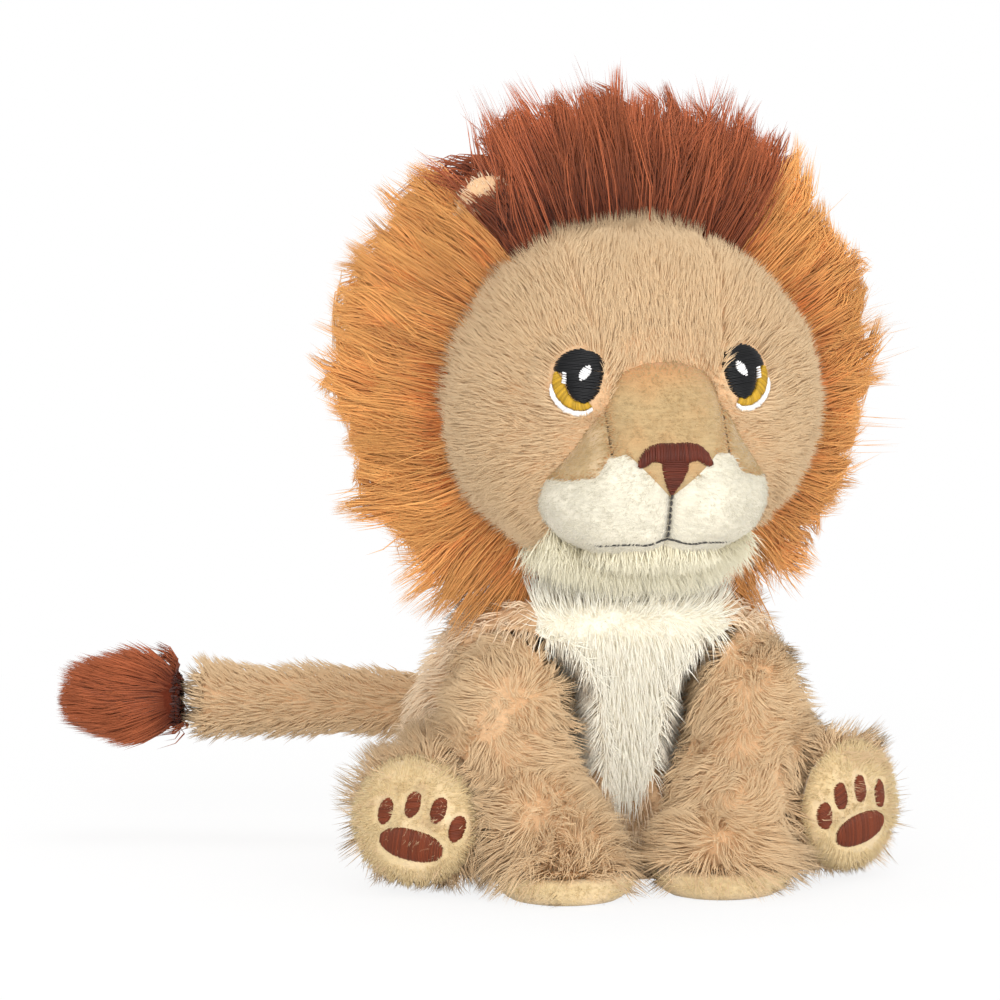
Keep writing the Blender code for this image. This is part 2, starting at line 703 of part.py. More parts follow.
def build_torso(root, cuts):
    white = cloth("cream_plush", CREAM)
    tan = cloth("tan_plush", TAN)
    sockets = [cuts["neck"], *cuts["front_legs"], *cuts["hind_legs"], cuts["tail"]]

    rings = []
    for height in (0, VELBOA_THICKNESS):
        half_width, half_depth, centre = torso_at(height)
        rings.append((Vector((0, centre, height)), half_width, half_depth))
    seat = loft(rings, BODY_SIDES, ACROSS, BACKWARD)
    piece("seat_panel", seat, cloth("seat_cloth", TAN), root, cut=cuts["hind_legs"])

    inside = cutter("torso_inside", torso_form(PLUSH_THICKNESS, -CUT_OVERRUN))
    outline = [(w * TORSO_HALF_WIDTH, h * TORSO_HEIGHT) for w, h in CHEST_OUTLINE_SHARES]
    front = HEAD_CENTRE.y - CUT_OVERRUN
    back = NECK_CENTRE.y + CHEST_BACK_SHARE * NECK_RADIUS
    shapes = []
    for grow in (0, SEAM_GAP):
        right = [(w + grow, h - grow) for w, h in outline]
        right[0] = (outline[0][0] + grow, TORSO_HEIGHT + CUT_OVERRUN)
        left = [(-w, h) for w, h in reversed(right)]
        shapes.append(prism(right + left, front, back + grow))
    chest = cutter("chest", shapes[0])
    round_chest = cutter("round_chest", shapes[1])
    piece("chest_panel", torso_form(0, FLOOR_OF_SKIN), white, root, keep=[chest], cut=[inside, *sockets])
    bellies = []
    for grow in (0, SEAM_GAP):
        half_width = HIP.x + BELLY_SIDE_SHARE * HIND_LEG_RADIUS + grow
        behind = HIP.y - BELLY_BACK_SHARE * HIND_LEG_RADIUS + grow
        top = SHOULDER.z - BELLY_TOP_SHARE * FRONT_LEG_RADIUS + grow
        bellies.append(block((-half_width, front, -CUT_OVERRUN), (half_width, behind, top)))
    belly = cutter("belly", bellies[0])
    round_belly = cutter("round_belly", bellies[1])
    holes = [inside, round_chest, *sockets]
    piece("belly_panel", torso_form(0, FLOOR_OF_SKIN), tan, root, keep=[belly], cut=holes)
    piece("torso_skin", torso_form(0, FLOOR_OF_SKIN), tan, root, cut=[round_belly, *holes])

    bag_centre = Vector((0, rings[0][0].y + BAG_SETBACK, FLOOR_OF_SKIN + BAG_HALF_HEIGHT))
    bag_halves = Vector((BAG_HALF_WIDTH, BAG_HALF_DEPTH, BAG_HALF_HEIGHT))
    bag = ellipsoid(bag_centre, bag_halves, LIMB_SIDES)
    piece("pellet_bag", bag, cloth("bag_cloth", GREY), root, cut=cuts["hind_legs"])
    grown = bag_halves + Vector((SEAM_GAP, SEAM_GAP, SEAM_GAP))
    rings = [(bag_centre - UP * CUT_OVERRUN, grown.x, grown.y)]
    for share in np.linspace(0, 1, BALL_RINGS // 2, endpoint=False):
        height = bag_centre + UP * (grown.z * math.sin(share * QUARTER_TURN))
        narrowing = math.cos(share * QUARTER_TURN)
        rings.append((height, grown.x * narrowing, grown.y * narrowing))
    rings.append((bag_centre + UP * grown.z, SEAM_GAP, SEAM_GAP))
    bag_room = cutter("bag_room", loft(rings, LIMB_SIDES, ACROSS, BACKWARD))
    filling = torso_form(PLUSH_THICKNESS + SEAM_GAP, FLOOR_OF_SKIN, FILLING_BODY_SIDES)
    piece("torso_stuffing", filling, cloth("fibre", FIBRE_WHITE), root, cut=[bag_room, *sockets])


def build_neck(neck):
    piece("neck_plug", ball(NECK_CENTRE, NECK_RADIUS, LIMB_SIDES), cloth("tan_plush", TAN), neck)


def build_head(head, cuts):
    tan = cloth("tan_plush", TAN)
    white = cloth("cream_plush", CREAM)
    inset = Vector((PLUSH_THICKNESS, PLUSH_THICKNESS, PLUSH_THICKNESS))
    gap = Vector((SEAM_GAP, SEAM_GAP, SEAM_GAP))
    inside = cutter("head_inside", ellipsoid(HEAD_CENTRE, HEAD_HALVES - inset))
    muzzle_room = cutter("muzzle_room", muzzle_form(-SEAM_GAP))
    low = HEAD_CENTRE - HEAD_HALVES - inset
    high = HEAD_CENTRE + HEAD_HALVES + inset
    seam_y = HEAD_CENTRE.y + FACE_SEAM_SETBACK
    forehead_x = FOREHEAD_SHARE * HEAD_HALF_WIDTH
    forehead_z = HEAD_CENTRE.z - FOREHEAD_FOOT_SHARE * HEAD_HALF_HEIGHT
    chin_x = CHIN_WIDTH_SHARE * HEAD_HALF_WIDTH
    chin_z = HEAD_CENTRE.z - CHIN_TOP_SHARE * HEAD_HALF_HEIGHT

    regions = []
    for label, grow in (("", 0), ("round_", SEAM_GAP)):
        foot = (-forehead_x - grow, low.y, forehead_z - grow)
        regions.append(cutter(label + "brow", block(foot, (forehead_x + grow, seam_y, high.z))))
        foot = (-chin_x - grow, low.y, low.z)
        regions.append(cutter(label + "chin", block(foot, (chin_x + grow, seam_y, chin_z + grow))))
    brow, chin, round_brow, round_chin = regions
    holes = [inside, muzzle_room, cuts["neck_in_head"]]
    form = (HEAD_CENTRE, HEAD_HALVES)
    piece("forehead_panel", ellipsoid(*form), tan, head, keep=[brow], cut=holes)
    piece("chin_panel", ellipsoid(*form), white, head, keep=[chin], cut=holes)
    for side, name in ((1, "left"), (-1, "right")):
        ends = sorted((side * SEAM_GAP, side * high.x))
        half = cutter("cheek_" + name, block((ends[0], low.y, low.z), (ends[1], seam_y, high.z)))
        around = [round_brow, round_chin, *holes]
        piece("cheek_" + name, ellipsoid(*form), tan, head, keep=[half], cut=around)

    in_muzzle = cutter("muzzle_stuffing", muzzle_form(PLUSH_THICKNESS + SEAM_GAP, FILLING_BODY_SIDES))
    filling = ellipsoid(HEAD_CENTRE, HEAD_HALVES - inset - gap, FILLING_BODY_SIDES)
    fibre = cloth("fibre", FIBRE_WHITE)
    piece("head_stuffing", filling, fibre, head, join=[in_muzzle], cut=[cuts["neck_in_head"]])


def muzzle_outlines():
    """Outlines seen from the front: the bridge, a side patch and a lobe, on the left side."""
    reach = 2 * MUZZLE_HALF_WIDTH
    top = MUZZLE_TOP.z + MUZZLE_HALF_WIDTH
    foot = MUZZLE_TOP.z - MUZZLE_HEIGHT - MUZZLE_HALF_WIDTH
    line = [(x * MUZZLE_HALF_WIDTH, MUZZLE_TOP.z - z * MUZZLE_HEIGHT) for x, z in LOBE_TOP_SHARES]
    lobe = [(SEAM_GAP / 2, foot), (SEAM_GAP / 2, line[0][1]), *line[1:], (line[-1][0], foot)]
    raised = [(x, z + 2 * SEAM_GAP) for x, z in line]
    edge = BRIDGE_HALF_WIDTH
    edge_z = float(np.interp(edge, [x for x, z in raised], [z for x, z in raised]))
    half = edge - SEAM_GAP / 2
    bridge = [(-half, top), (-half, edge_z), raised[0], (half, edge_z), (half, top)]
    outer = edge + SEAM_GAP / 2
    beyond = [point for point in raised if point[0] > outer]
    side = [(outer, top), (outer, edge_z), *beyond, (reach, raised[-1][1]), (reach, top)]
    return bridge, side, lobe


def build_muzzle(head):
    beige = cloth("muzzle_velboa", BEIGE)
    white = cloth("lobe_plush", WHITE)
    inset = PLUSH_THICKNESS
    hollow = cutter("muzzle_hollow", muzzle_form(inset))
    inner = HEAD_HALVES - Vector((inset, inset, inset))
    head_core = cutter("head_core", ellipsoid(HEAD_CENTRE, inner))
    bridge, side_patch, lobe = muzzle_outlines()
    front = MUZZLE_TOP.y - CUT_OVERRUN
    back = MUZZLE_TOP.y + MUZZLE_BACK_SHARE * MUZZLE_DEPTH
    region = cutter("bridge", prism(bridge, front, back))
    piece("muzzle_bridge", muzzle_form(0), beige, head, keep=[region], cut=[hollow, head_core])
    for side, name in ((1, "left"), (-1, "right")):
        for part, outline, material in (("side", side_patch, beige), ("lobe", lobe, white)):
            here = [(side * x, z) for x, z in outline]
            region = cutter(f"muzzle_{part}_{name}", prism(here, front, back))
            skin = muzzle_form(0)
            piece(f"muzzle_{part}_{name}", skin, material, head, keep=[region], cut=[hollow, head_core])


def build_nose_and_mouth(head):
    bm = muzzle_form(0)
    ground = Ground(bm, MUZZLE_TOP, ACROSS, UP, SEAM_GAP / 2)
    bm.free()
    brown = cloth("nose_thread", DARK_BROWN, THREAD_ROUGHNESS)
    grey = cloth("mouth_thread", GREY, THREAD_ROUGHNESS)
    halves = (NOSE_HALF_WIDTH, NOSE_HALF_HEIGHT)
    nose = oval_patch(ground, (0, -NOSE_DROP), halves, PAD_LOOPS_SHARES, squareness=NOSE_SQUARENESS)
    piece("nose_bar", nose, brown, head)
    stem_top = -NOSE_DROP - NOSE_HALF_HEIGHT - SEAM_GAP
    stem_foot = stem_top - NOSE_STEM_HEIGHT
    shares = np.linspace(0, 1, DOME_STEPS)
    middle = [(0, stem_top + (stem_foot - stem_top) * share) for share in shares]
    narrowing = NOSE_STEM_FOOT_SHARE - 1
    widths = [NOSE_STEM_HALF_WIDTH * (1 + narrowing * share) for share in shares]
    piece("nose_stem", line_patch(ground, middle, widths), brown, head)
    half = THREAD_WIDTH / 2
    mouth_top = -MOUTH_DROP + half + SEAM_GAP
    start = stem_foot - SEAM_GAP
    shares = np.linspace(0, 1, DOME_STEPS + 1)
    middle = [(0, start + (mouth_top - start) * share) for share in shares]
    piece("mouth_seam", line_patch(ground, middle, [half] * len(middle)), grey, head)
    middle = []
    for share in np.linspace(-1, 1, 2 * THREAD_SIDES + 1):
        middle.append((share * MOUTH_HALF_WIDTH, -MOUTH_DROP - MOUTH_SAG * share * share))
    piece("mouth_curve", line_patch(ground, middle, [half] * len(middle)), grey, head)


def build_eyes(head):
    bm = ellipsoid(HEAD_CENTRE, HEAD_HALVES)
    black = cloth("eye_black_thread", BLACK, THREAD_ROUGHNESS)
    gold = cloth("eye_gold_thread", GOLD, THREAD_ROUGHNESS)
    white = cloth("eye_white_thread", WHITE, THREAD_ROUGHNESS)
    for side, name in ((1, "left"), (-1, "right")):
        origin = on_head(side * EYE_SPREAD, HEAD_CENTRE.z + EYE_RISE)
        slopes = [offset / half**2 for offset, half in zip(origin - HEAD_CENTRE, HEAD_HALVES)]
        out = Vector(slopes).normalized()
        sideways = UP.cross(out).normalized()
        ground = Ground(bm, origin, sideways, out.cross(sideways))
        pupil_centre = (side * PUPIL_SHARES[0] * EYE_HALF_WIDTH, PUPIL_SHARES[1] * EYE_HALF_HEIGHT)
        pupil_halves = (PUPIL_SHARES[2] * EYE_HALF_WIDTH, PUPIL_SHARES[3] * EYE_HALF_HEIGHT)
        pupil = oval_patch(ground, pupil_centre, pupil_halves, PAD_LOOPS_SHARES)
        piece("eye_pupil_" + name, pupil, black, head)
        iris = crescent_patch(ground, side, IRIS_SHARES, PUPIL_SHARES)
        piece("eye_iris_" + name, iris, gold, head)
        rim_of_white = crescent_patch(ground, side, WHITE_SHARES, IRIS_SHARES)
        piece("eye_white_" + name, rim_of_white, white, head)
        ground.lift = THREAD_THICKNESS + SEAM_GAP
        glint_centre = (GLINT_SHARES[0] * EYE_HALF_WIDTH, GLINT_SHARES[1] * EYE_HALF_HEIGHT)
        glint_halves = (GLINT_SHARES[2] * EYE_HALF_WIDTH, GLINT_SHARES[3] * EYE_HALF_HEIGHT)
        piece("eye_glint_" + name, oval_patch(ground, glint_centre, glint_halves), white, head)
    bm.free()


def ear_form(side, grow):
    """A flat leaf, tilted out, with its root on the stuffed head."""
    halves = HEAD_HALVES - Vector((PLUSH_THICKNESS, PLUSH_THICKNESS, PLUSH_THICKNESS))
    slice_share = math.sqrt(1 - (EAR_SETBACK / halves.y) ** 2)
    out = Vector((math.sin(EAR_TILT), 0, math.cos(EAR_TILT)))
    root = Vector((out.x * halves.x * slice_share, EAR_SETBACK, out.z * halves.z * slice_share))
    centre = HEAD_CENTRE + root + out * (EAR_HALF_HEIGHT - EAR_ROOT_SINK)
    centre.x = side * centre.x
    turn = Matrix.Rotation(side * EAR_TILT, 4, "Y")
    bm = bmesh.new()
    sizes = (EAR_HALF_WIDTH + grow, EAR_HALF_THICKNESS + grow, EAR_HALF_HEIGHT + grow, 1)
    shape = Matrix.Translation(centre) @ turn @ Matrix.Diagonal(sizes)
    bmesh.ops.create_uvsphere(bm, u_segments=THREAD_SIDES, v_segments=EAR_RINGS, radius=1, matrix=shape)
    return bm


def build_mane(head, neck_room):
    brown = cloth("crown_plush", BROWN)
    orange = cloth("mane_plush", ORANGE)
    inset = Vector((PLUSH_THICKNESS, PLUSH_THICKNESS, PLUSH_THICKNESS))
    inside = cutter("mane_inside", ellipsoid(HEAD_CENTRE, HEAD_HALVES - inset))
    hem = cutter("hem", below_hem())
    reach = MANE_HALF_WIDTH + CUT_OVERRUN
    wedges = []
    for lift in (SEAM_GAP / math.sin(CROWN_ANGLE), 0):
        apex = HEAD_CENTRE.z + lift
        half = reach * math.tan(CROWN_ANGLE)
        outline = [(0, apex), (half, apex + reach), (-half, apex + reach)]
        wedges.append(prism(outline, HEAD_CENTRE.y - reach, HEAD_CENTRE.y + reach))
    crown = cutter("crown", wedges[0])
    round_crown = cutter("round_crown", wedges[1])
    ears = []
    for side, name in ((1, "left"), (-1, "right")):
        ears.append(cutter("ear_room_" + name, ear_form(side, SEAM_GAP)))
    piece("mane_crown", mane_form(), brown, head, keep=[crown], cut=[inside, *ears])
    for side, name, room in ((1, "left", ears[0]), (-1, "right", ears[1])):
        ends = sorted((side * SEAM_GAP / 2, side * reach))
        low = (ends[0], HEAD_CENTRE.y - reach, HEAD_CENTRE.z - reach)
        high = (ends[1], HEAD_CENTRE.y + reach, HEAD_CENTRE.z + reach)
        half = cutter("mane_half_" + name, block(low, high))
        holes = [round_crown, inside, hem, neck_room, room]
        piece("mane_" + name, mane_form(), orange, head, keep=[half], cut=holes)
        piece("ear_" + name, ear_form(side, 0), cloth("tan_plush", TAN), head, cut=[inside])


def build_front_leg(side, name, pivot):
    """Skin, filling and sole of a front leg."""
    foot = FRONT_SOLE_THICKNESS + SEAM_GAP
    far = CUT_OVERRUN
    room = cutter("front_leg_room_" + name, front_leg_form(side, -PLUSH_THICKNESS, -SEAM_GAP))
    body = cutter("above_sole_" + name, block((-far, -far, foot), (far, far, far)))
    skin = front_leg_form(side, 0, 0)
    piece("front_leg_" + name, skin, cloth("tan_plush", TAN), pivot, keep=[body], cut=[room])
    filling = front_leg_form(side, -PLUSH_THICKNESS - SEAM_GAP, -SEAM_GAP, FILLING_LIMB_SIDES)
    piece(f"front_leg_{name}_stuffing", filling, cloth("fibre", FIBRE_WHITE), pivot, keep=[body])
    below = cutter("front_sole_" + name, block((-far, -far, -far), (far, far, FRONT_SOLE_THICKNESS)))
    sole = front_leg_form(side, 0, 0)
    piece("front_sole_" + name, sole, cloth("sole_velboa", SOLE_CREAM), pivot, keep=[below])


def build_hind_leg(side, name, pivot, front_leg_room):
    """Skin, filling, sole and pads of a hind leg."""
    out, across = leg_axes(side)
    end = mirrored(HIP, side) + out * HIND_LEG_LENGTH
    inner = -PLUSH_THICKNESS
    room = cutter("hind_leg_room_" + name, hind_leg_form(side, inner, HIND_LEG_LENGTH + PLUSH_THICKNESS))
    skin = hind_leg_form(side, 0, HIND_LEG_LENGTH)
    piece("hind_leg_" + name, skin, cloth("tan_plush", TAN), pivot, cut=[room, front_leg_room])
    filling = hind_leg_form(side, inner - SEAM_GAP, HIND_LEG_LENGTH, sides=FILLING_LIMB_SIDES)
    piece(f"hind_leg_{name}_stuffing", filling, cloth("fibre", FIBRE_WHITE), pivot, cut=[front_leg_room])
    radius = HIND_LEG_SECTION_SHARES[-1][1] * HIND_LEG_RADIUS
    rings = [(end + out * SEAM_GAP, radius, radius)]
    for step in range(DOME_STEPS + 1):
        angle = HIND_SOLE_DOME * step / DOME_STEPS
        crown = SEAM_GAP + VELBOA_THICKNESS / 2 + HIND_SOLE_CROWN * math.sin(angle)
        rings.append((end + out * crown, radius * math.cos(angle), radius * math.cos(angle)))
    sole_bm = loft(rings, LIMB_SIDES, across, UP)
    ground = Ground(sole_bm, end, across, UP)
    piece("hind_sole_" + name, sole_bm, cloth("sole_velboa", SOLE_CREAM), pivot)
    for part, (a, b, wide, tall) in PAD_SHARES.items():
        place = (-side * a * radius, b * radius)
        loops = PAD_LOOPS_SHARES if part == "pad" else PAD_LOOPS_SHARES[:1]
        patch = oval_patch(ground, place, (wide * radius, tall * radius), loops, side * PAD_ROLL)
        piece(f"hind_{part}_{name}", patch, cloth("pad_velboa", BROWN), pivot)


def build_tail(tail):
    """Shaft, filling and tuft of the tail."""
    brown = cloth("crown_plush", BROWN)
    half_thickness = PLUSH_THICKNESS / 2
    inside = cutter("tail_inside", tail_tube(0, TAIL_SHAFT_LENGTH + PLUSH_THICKNESS, half_thickness))
    piece("tail_skin", tail_tube(0, TAIL_SHAFT_LENGTH, 0), cloth("tan_plush", TAN), tail, cut=[inside])
    filling = tail_tube(0, TAIL_SHAFT_LENGTH, half_thickness + SEAM_GAP, FILLING_LIMB_SIDES)
    piece("tail_stuffing", filling, cloth("fibre", FIBRE_WHITE), tail)
    piece("tail_tuft", tail_tuft_form(), brown, tail)


def shared_cutters():
    """Rooms in the torso and head for what moves in them."""
    cuts = {
        "neck": cutter("neck_in_torso", ball(NECK_CENTRE, NECK_RADIUS + SEAM_GAP, LIMB_SIDES)),
        "neck_in_head": cutter("neck_in_head", ball(NECK_CENTRE, NECK_RADIUS + SOCKET_GAP, LIMB_SIDES)),
        "front_legs": [],
        "beside_front_legs": [],
        "hind_legs": [],
    }
    for side, name in ((1, "left"), (-1, "right")):
        cuts["front_legs"].append(cutter("shoulder_" + name, front_leg_room(side)))
        beside = front_leg_form(side, HIND_LEG_HOLLOW_GAP, -SEAM_GAP)
        cuts["beside_front_legs"].append(cutter("beside_" + name, beside))
        cuts["hind_legs"].append(cutter("hip_" + name, hind_leg_room(side)))
    socket = cutter("tail_socket", tail_socket())
    front = tail_pivot().y - TAIL_BASE_RADIUS - SOCKET_GAP
    far = CUT_OVERRUN
    behind = cutter("behind_tail", block((-far, front, -far), (far, front + far, far)))
    change(socket, behind, "INTERSECT")
    cuts["tail"] = socket
    return cuts


def main():
    for obj in list(bpy.data.objects):
        bpy.data.objects.remove(obj)
    root = pivot_at("torso_root", Vector((0, 0, 0)))
    neck = pivot_at("neck_pivot", NECK_CENTRE)
    head = pivot_at("head_pivot", NECK_CENTRE)
    cuts = shared_cutters()
    build_torso(root, cuts)
    build_neck(neck)
    build_head(head, cuts)
    build_muzzle(head)
    build_nose_and_mouth(head)
    build_eyes(head)
    build_mane(head, cuts["neck_in_head"])
    for side, name, front_leg_room in zip((1, -1), ("left", "right"), cuts["beside_front_legs"]):
        build_front_leg(side, name, pivot_at("shoulder_pivot_" + name, mirrored(SHOULDER, side)))
        hip = pivot_at("hip_pivot_" + name, mirrored(HIP, side))
        build_hind_leg(side, name, hip, front_leg_room)
    build_tail(pivot_at("tail_pivot", tail_pivot()))


if __name__ == "__main__":
    main()
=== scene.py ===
"""Looks of a seated plush lion: skins, fur, sewn face and paws, and the studio round it."""

import json
import math

import bmesh
import bpy
import numpy as np
from bpy.props import FloatProperty, FloatVectorProperty, IntProperty, PointerProperty
from mathutils import Matrix, Vector, kdtree
from mathutils.bvhtree import BVHTree


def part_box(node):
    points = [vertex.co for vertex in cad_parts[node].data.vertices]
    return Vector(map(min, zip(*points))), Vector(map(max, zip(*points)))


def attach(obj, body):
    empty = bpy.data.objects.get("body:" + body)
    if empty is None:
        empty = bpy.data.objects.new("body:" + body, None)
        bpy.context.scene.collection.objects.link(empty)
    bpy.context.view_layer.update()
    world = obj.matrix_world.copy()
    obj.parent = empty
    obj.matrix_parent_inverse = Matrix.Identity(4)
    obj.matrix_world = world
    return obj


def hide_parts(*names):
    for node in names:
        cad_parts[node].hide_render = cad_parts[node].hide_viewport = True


bl_info = {
    "name": "Plush lion",
    "version": (1, 0, 0),
    "blender": (4, 5, 0),
    "location": "3D View > Sidebar > Plush lion",
    "description": "Builds the skins, fur and stitching of a seated plush lion",
    "category": "Object",
}

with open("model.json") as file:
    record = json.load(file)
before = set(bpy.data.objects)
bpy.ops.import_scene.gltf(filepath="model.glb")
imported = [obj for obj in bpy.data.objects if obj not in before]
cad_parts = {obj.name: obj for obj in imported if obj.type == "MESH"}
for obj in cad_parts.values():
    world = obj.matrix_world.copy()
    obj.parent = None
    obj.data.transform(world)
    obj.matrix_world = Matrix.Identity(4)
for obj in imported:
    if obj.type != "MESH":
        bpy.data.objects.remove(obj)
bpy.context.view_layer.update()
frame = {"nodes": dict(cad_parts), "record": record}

MM = 0.001
SIDES = {"left": 1, "right": -1}
UP = np.array((0.0, 0.0, 1.0))
BACK = np.array((0.0, 1.0, 0.0))
RIGHT = np.array((1.0, 0.0, 0.0))
# The cream fur's shading under the chin leans to the front
CHIN_LEAN = 0.5 * UP - 1.6 * BACK

# Places of the CAD model
HEAD = np.array((0.0, -21.0, 116.0)) * MM
HEAD_HALVES = np.array((45.0, 36.0, 41.0)) * MM
SEAM_BACK = 8 * MM
NECK = np.array((0.0, -10.0, 76.0)) * MM
MUZZLE_TOP = np.array((0.0, -40.0, 128.0)) * MM
MUZZLE_HALF_WIDTH = 26.2 * MM
MUZZLE_DEPTH = 25.5 * MM
MUZZLE_HEIGHT = 46 * MM
MUZZLE_SQUARENESS = 2.5
MUZZLE_ROWS = (
    (-0.030, 0.520, 0.380),
    (-0.012, 0.590, 0.520),
    (0.025, 0.630, 0.625),
    (0.080, 0.645, 0.710),
    (0.174, 0.660, 0.804),
    (0.348, 0.740, 0.960),
    (0.478, 0.873, 1.000),
    (0.609, 1.000, 0.922),
    (0.739, 1.000, 0.863),
    (0.870, 0.873, 0.745),
    (0.957, 0.582, 0.510),
    (1.000, 0.290, 0.314),
)
LEG_BODIES = [f"{end}_leg_{side}" for end in ("front", "hind") for side in SIDES]
MANE_LENGTH = 25 * MM
CROWN_LENGTH = 33 * MM
# The map of a strand's tone and of the distance along it
OWN_MAP = "OFBake"


def linear(red, green, blue):
    """A colour written in 0 to 255, as Blender's linear values."""
    values = []
    for value in (red, green, blue):
        share = value / 255
        values.append(share / 12.92 if share <= 0.04045 else ((share + 0.055) / 1.055) ** 2.4)
    return tuple(values)


def colour_property(name, description, *rgb):
    return FloatVectorProperty(
        name=name, description=description, subtype="COLOR", size=3, min=0, max=1, default=linear(*rgb)
    )


def length_property(name, description, metres):
    return FloatProperty(
        name=name, description=description, subtype="DISTANCE", unit="LENGTH", min=0, default=metres
    )


class LionColours(bpy.types.PropertyGroup):
    """Colours of the cloths and threads."""

    tan: colour_property("Tan", "Short plush of face, legs and body", 250, 222, 188)
    tan_root: colour_property("Tan roots", "Depth of the tan plush", 230, 190, 148)
    cream: colour_property("Cream", "Chest and chin", 255, 250, 234)
    cream_root: colour_property("Cream roots", "Depth of the chest", 252, 243, 222)
    orange: colour_property("Orange", "Tips of the mane", 252, 182, 108)
    orange_root: colour_property("Rust", "Roots of the mane", 214, 112, 54)
    brown: colour_property("Brown", "Tips of crown and tail tuft", 180, 100, 64)
    brown_root: colour_property("Dark brown", "Roots of crown and tuft", 98, 42, 26)
    beige: colour_property("Beige", "Bridge and sides of the muzzle", 188, 160, 116)
    # Second beige of the bridge: random mottle, and painted shadow at its top under the brow's fur
    beige_mottle_and_brow_shadow: colour_property("Beige shade", "Brow seam of the muzzle", 196, 142, 92)
    white: colour_property("White", "Lobes of the muzzle", 222, 215, 195)
    sole: colour_property("Sole", "Soles of the paws", 224, 200, 154)
    pad: colour_property("Pad", "Embroidered paw pads", 112, 50, 24)
    nose: colour_property("Nose", "Embroidered nose", 92, 36, 18)
    black: colour_property("Black", "Pupils", 9, 9, 12)
    gold: colour_property("Gold", "Irises", 186, 146, 36)
    eye_white: colour_property("Eye white", "Rims and glints of the eyes", 244, 240, 238)
    mouth: colour_property("Mouth", "Mouth thread", 64, 62, 60)
    bag: colour_property("Bag", "Bag of pellets", 200, 198, 190)


class LionSizes(bpy.types.PropertyGroup):
    """Lengths of the pile and widths of the strands."""

    mane_length: length_property("Mane", "Length of the mane's strands", MANE_LENGTH)
    crown_length: length_property("Crown", "Length of the crown's strands", CROWN_LENGTH)
    body_length: length_property("Legs and body", "Length of the body's strands", 8.5 * MM)
    face_length: length_property("Face", "Length of the face's strands", 6 * MM)
    tuft_length: length_property("Tuft", "Length of the tail tuft's strands", 15 * MM)
    thread_pitch: length_property("Thread pitch", "Space from stitch to stitch", 0.37 * MM)
    seed: IntProperty(name="Seed", description="Start of the random draws", default=7)


# Shader values as Python expressions


class Wire:
    """A socket of a node tree, on which arithmetic adds Math nodes."""

    def __init__(self, sheet, socket):
        self.sheet = sheet
        self.socket = socket

    def math(self, operation, other):
        return self.sheet.node("ShaderNodeMath", {"operation": operation}, sockets=enumerate((self, other)))

    def __add__(self, other):
        return self.math("ADD", other)

    def __mul__(self, other):
        return self.math("MULTIPLY", other)

    def within(self, low, high):
        """From 0 at low to 1 at high, smoothly."""
        ends = {"Value": self, "From Min": low, "From Max": high}
        return self.sheet.node("ShaderNodeMapRange", {"interpolation_type": "SMOOTHSTEP"}, sockets=ends)

    __radd__ = __add__
    __rmul__ = __mul__


class Tree:
    """The node tree of a material or of the world."""

    def __init__(self, tree):
        self.tree = tree

    def plug(self, socket, value):
        if isinstance(value, Wire):
            self.tree.links.new(value.socket, socket)
        elif hasattr(value, "__len__"):
            # A colour's fourth value is 1
            socket.default_value = (*value, 1)[:len(socket.default_value)]
        else:
            socket.default_value = value

    def node(self, kind, settings=None, output=0, sockets=(), **named):
        """Adds a node with its settings, then the values or links of its sockets."""
        node = self.tree.nodes.new(kind)
        for label, value in (settings or {}).items():
            setattr(node, label, value)
        for label, value in (*dict(sockets).items(), *named.items()):
            self.plug(node.inputs[label], value)
        return Wire(self, node.outputs[output])

    def mix(self, share, first, second):
        return self.node("ShaderNodeMix", {"data_type": "RGBA"}, 2, {0: share, 6: first, 7: second})

    def mix_shaders(self, share, first, second):
        return self.node("ShaderNodeMixShader", sockets=enumerate((share, first, second)))

    def parts(self, wire):
        first = self.node("ShaderNodeSeparateXYZ", sockets={0: wire})
        return [Wire(self, socket) for socket in first.socket.node.outputs]

    def strand_map(self):
        """A strand's tone and the distance along it."""
        return self.parts(self.node("ShaderNodeUVMap", {"uv_map": OWN_MAP}))[:2]

    def place(self):
        return self.node("ShaderNodeTexCoord", output="Object")

    def noise(self, vector, scale, detail):
        return self.node("ShaderNodeTexNoise", Vector=vector, Scale=scale, Detail=detail)

    def stretched_noise(self, scale, detail):
        return self.noise(self.node("ShaderNodeMapping", Vector=self.place(), Scale=scale), 1, detail)

    def seen(self):
        """1 where a ray comes straight from the camera or by way of a glossy or clear surface."""
        kinds = ("Camera", "Glossy", "Transmission")
        camera, glossy, clear = (self.node("ShaderNodeLightPath", output=f"Is {kind} Ray") for kind in kinds)
        return camera.math("MAXIMUM", glossy).math("MAXIMUM", clear)


class Sheet(Tree):
    """A material and its nodes."""

    def __init__(self, name, **constants):
        self.material = bpy.data.materials.new(name)
        self.material.use_nodes = True
        super().__init__(self.material.node_tree)
        self.shader = self.tree.nodes["Principled BSDF"]
        for label, value in constants.items():
            self.plug(self.shader.inputs[label.replace("_", " ")], value)

    def colour(self, wire):
        self.plug(self.shader.inputs["Base Color"], wire)

    def bump(self, height, distance):
        normal = self.node("ShaderNodeBump", Height=height, Distance=distance, Strength=1.0)
        self.plug(self.shader.inputs["Normal"], normal)


def toned(colour, share):
    """A colour made deeper or paler."""
    return tuple(min(value * share, 1) for value in colour)


def pile_sheet(name, root, tip, deep=0.82, pale=1.06, root_end=0.5):
    """Material of strands, each in a tone of its own, from root to tip."""
    sheet = Sheet(name, Roughness=0.8, Specular_IOR_Level=0.15, Sheen_Weight=0.08, Sheen_Roughness=0.5)
    tone, along = sheet.strand_map()
    rise = along.within(0, root_end)
    dark = sheet.mix(rise, toned(root, deep), toned(tip, deep))
    light = sheet.mix(rise, root, toned(tip, pale))
    sheet.colour(sheet.mix(tone, dark, light))
    return sheet.material


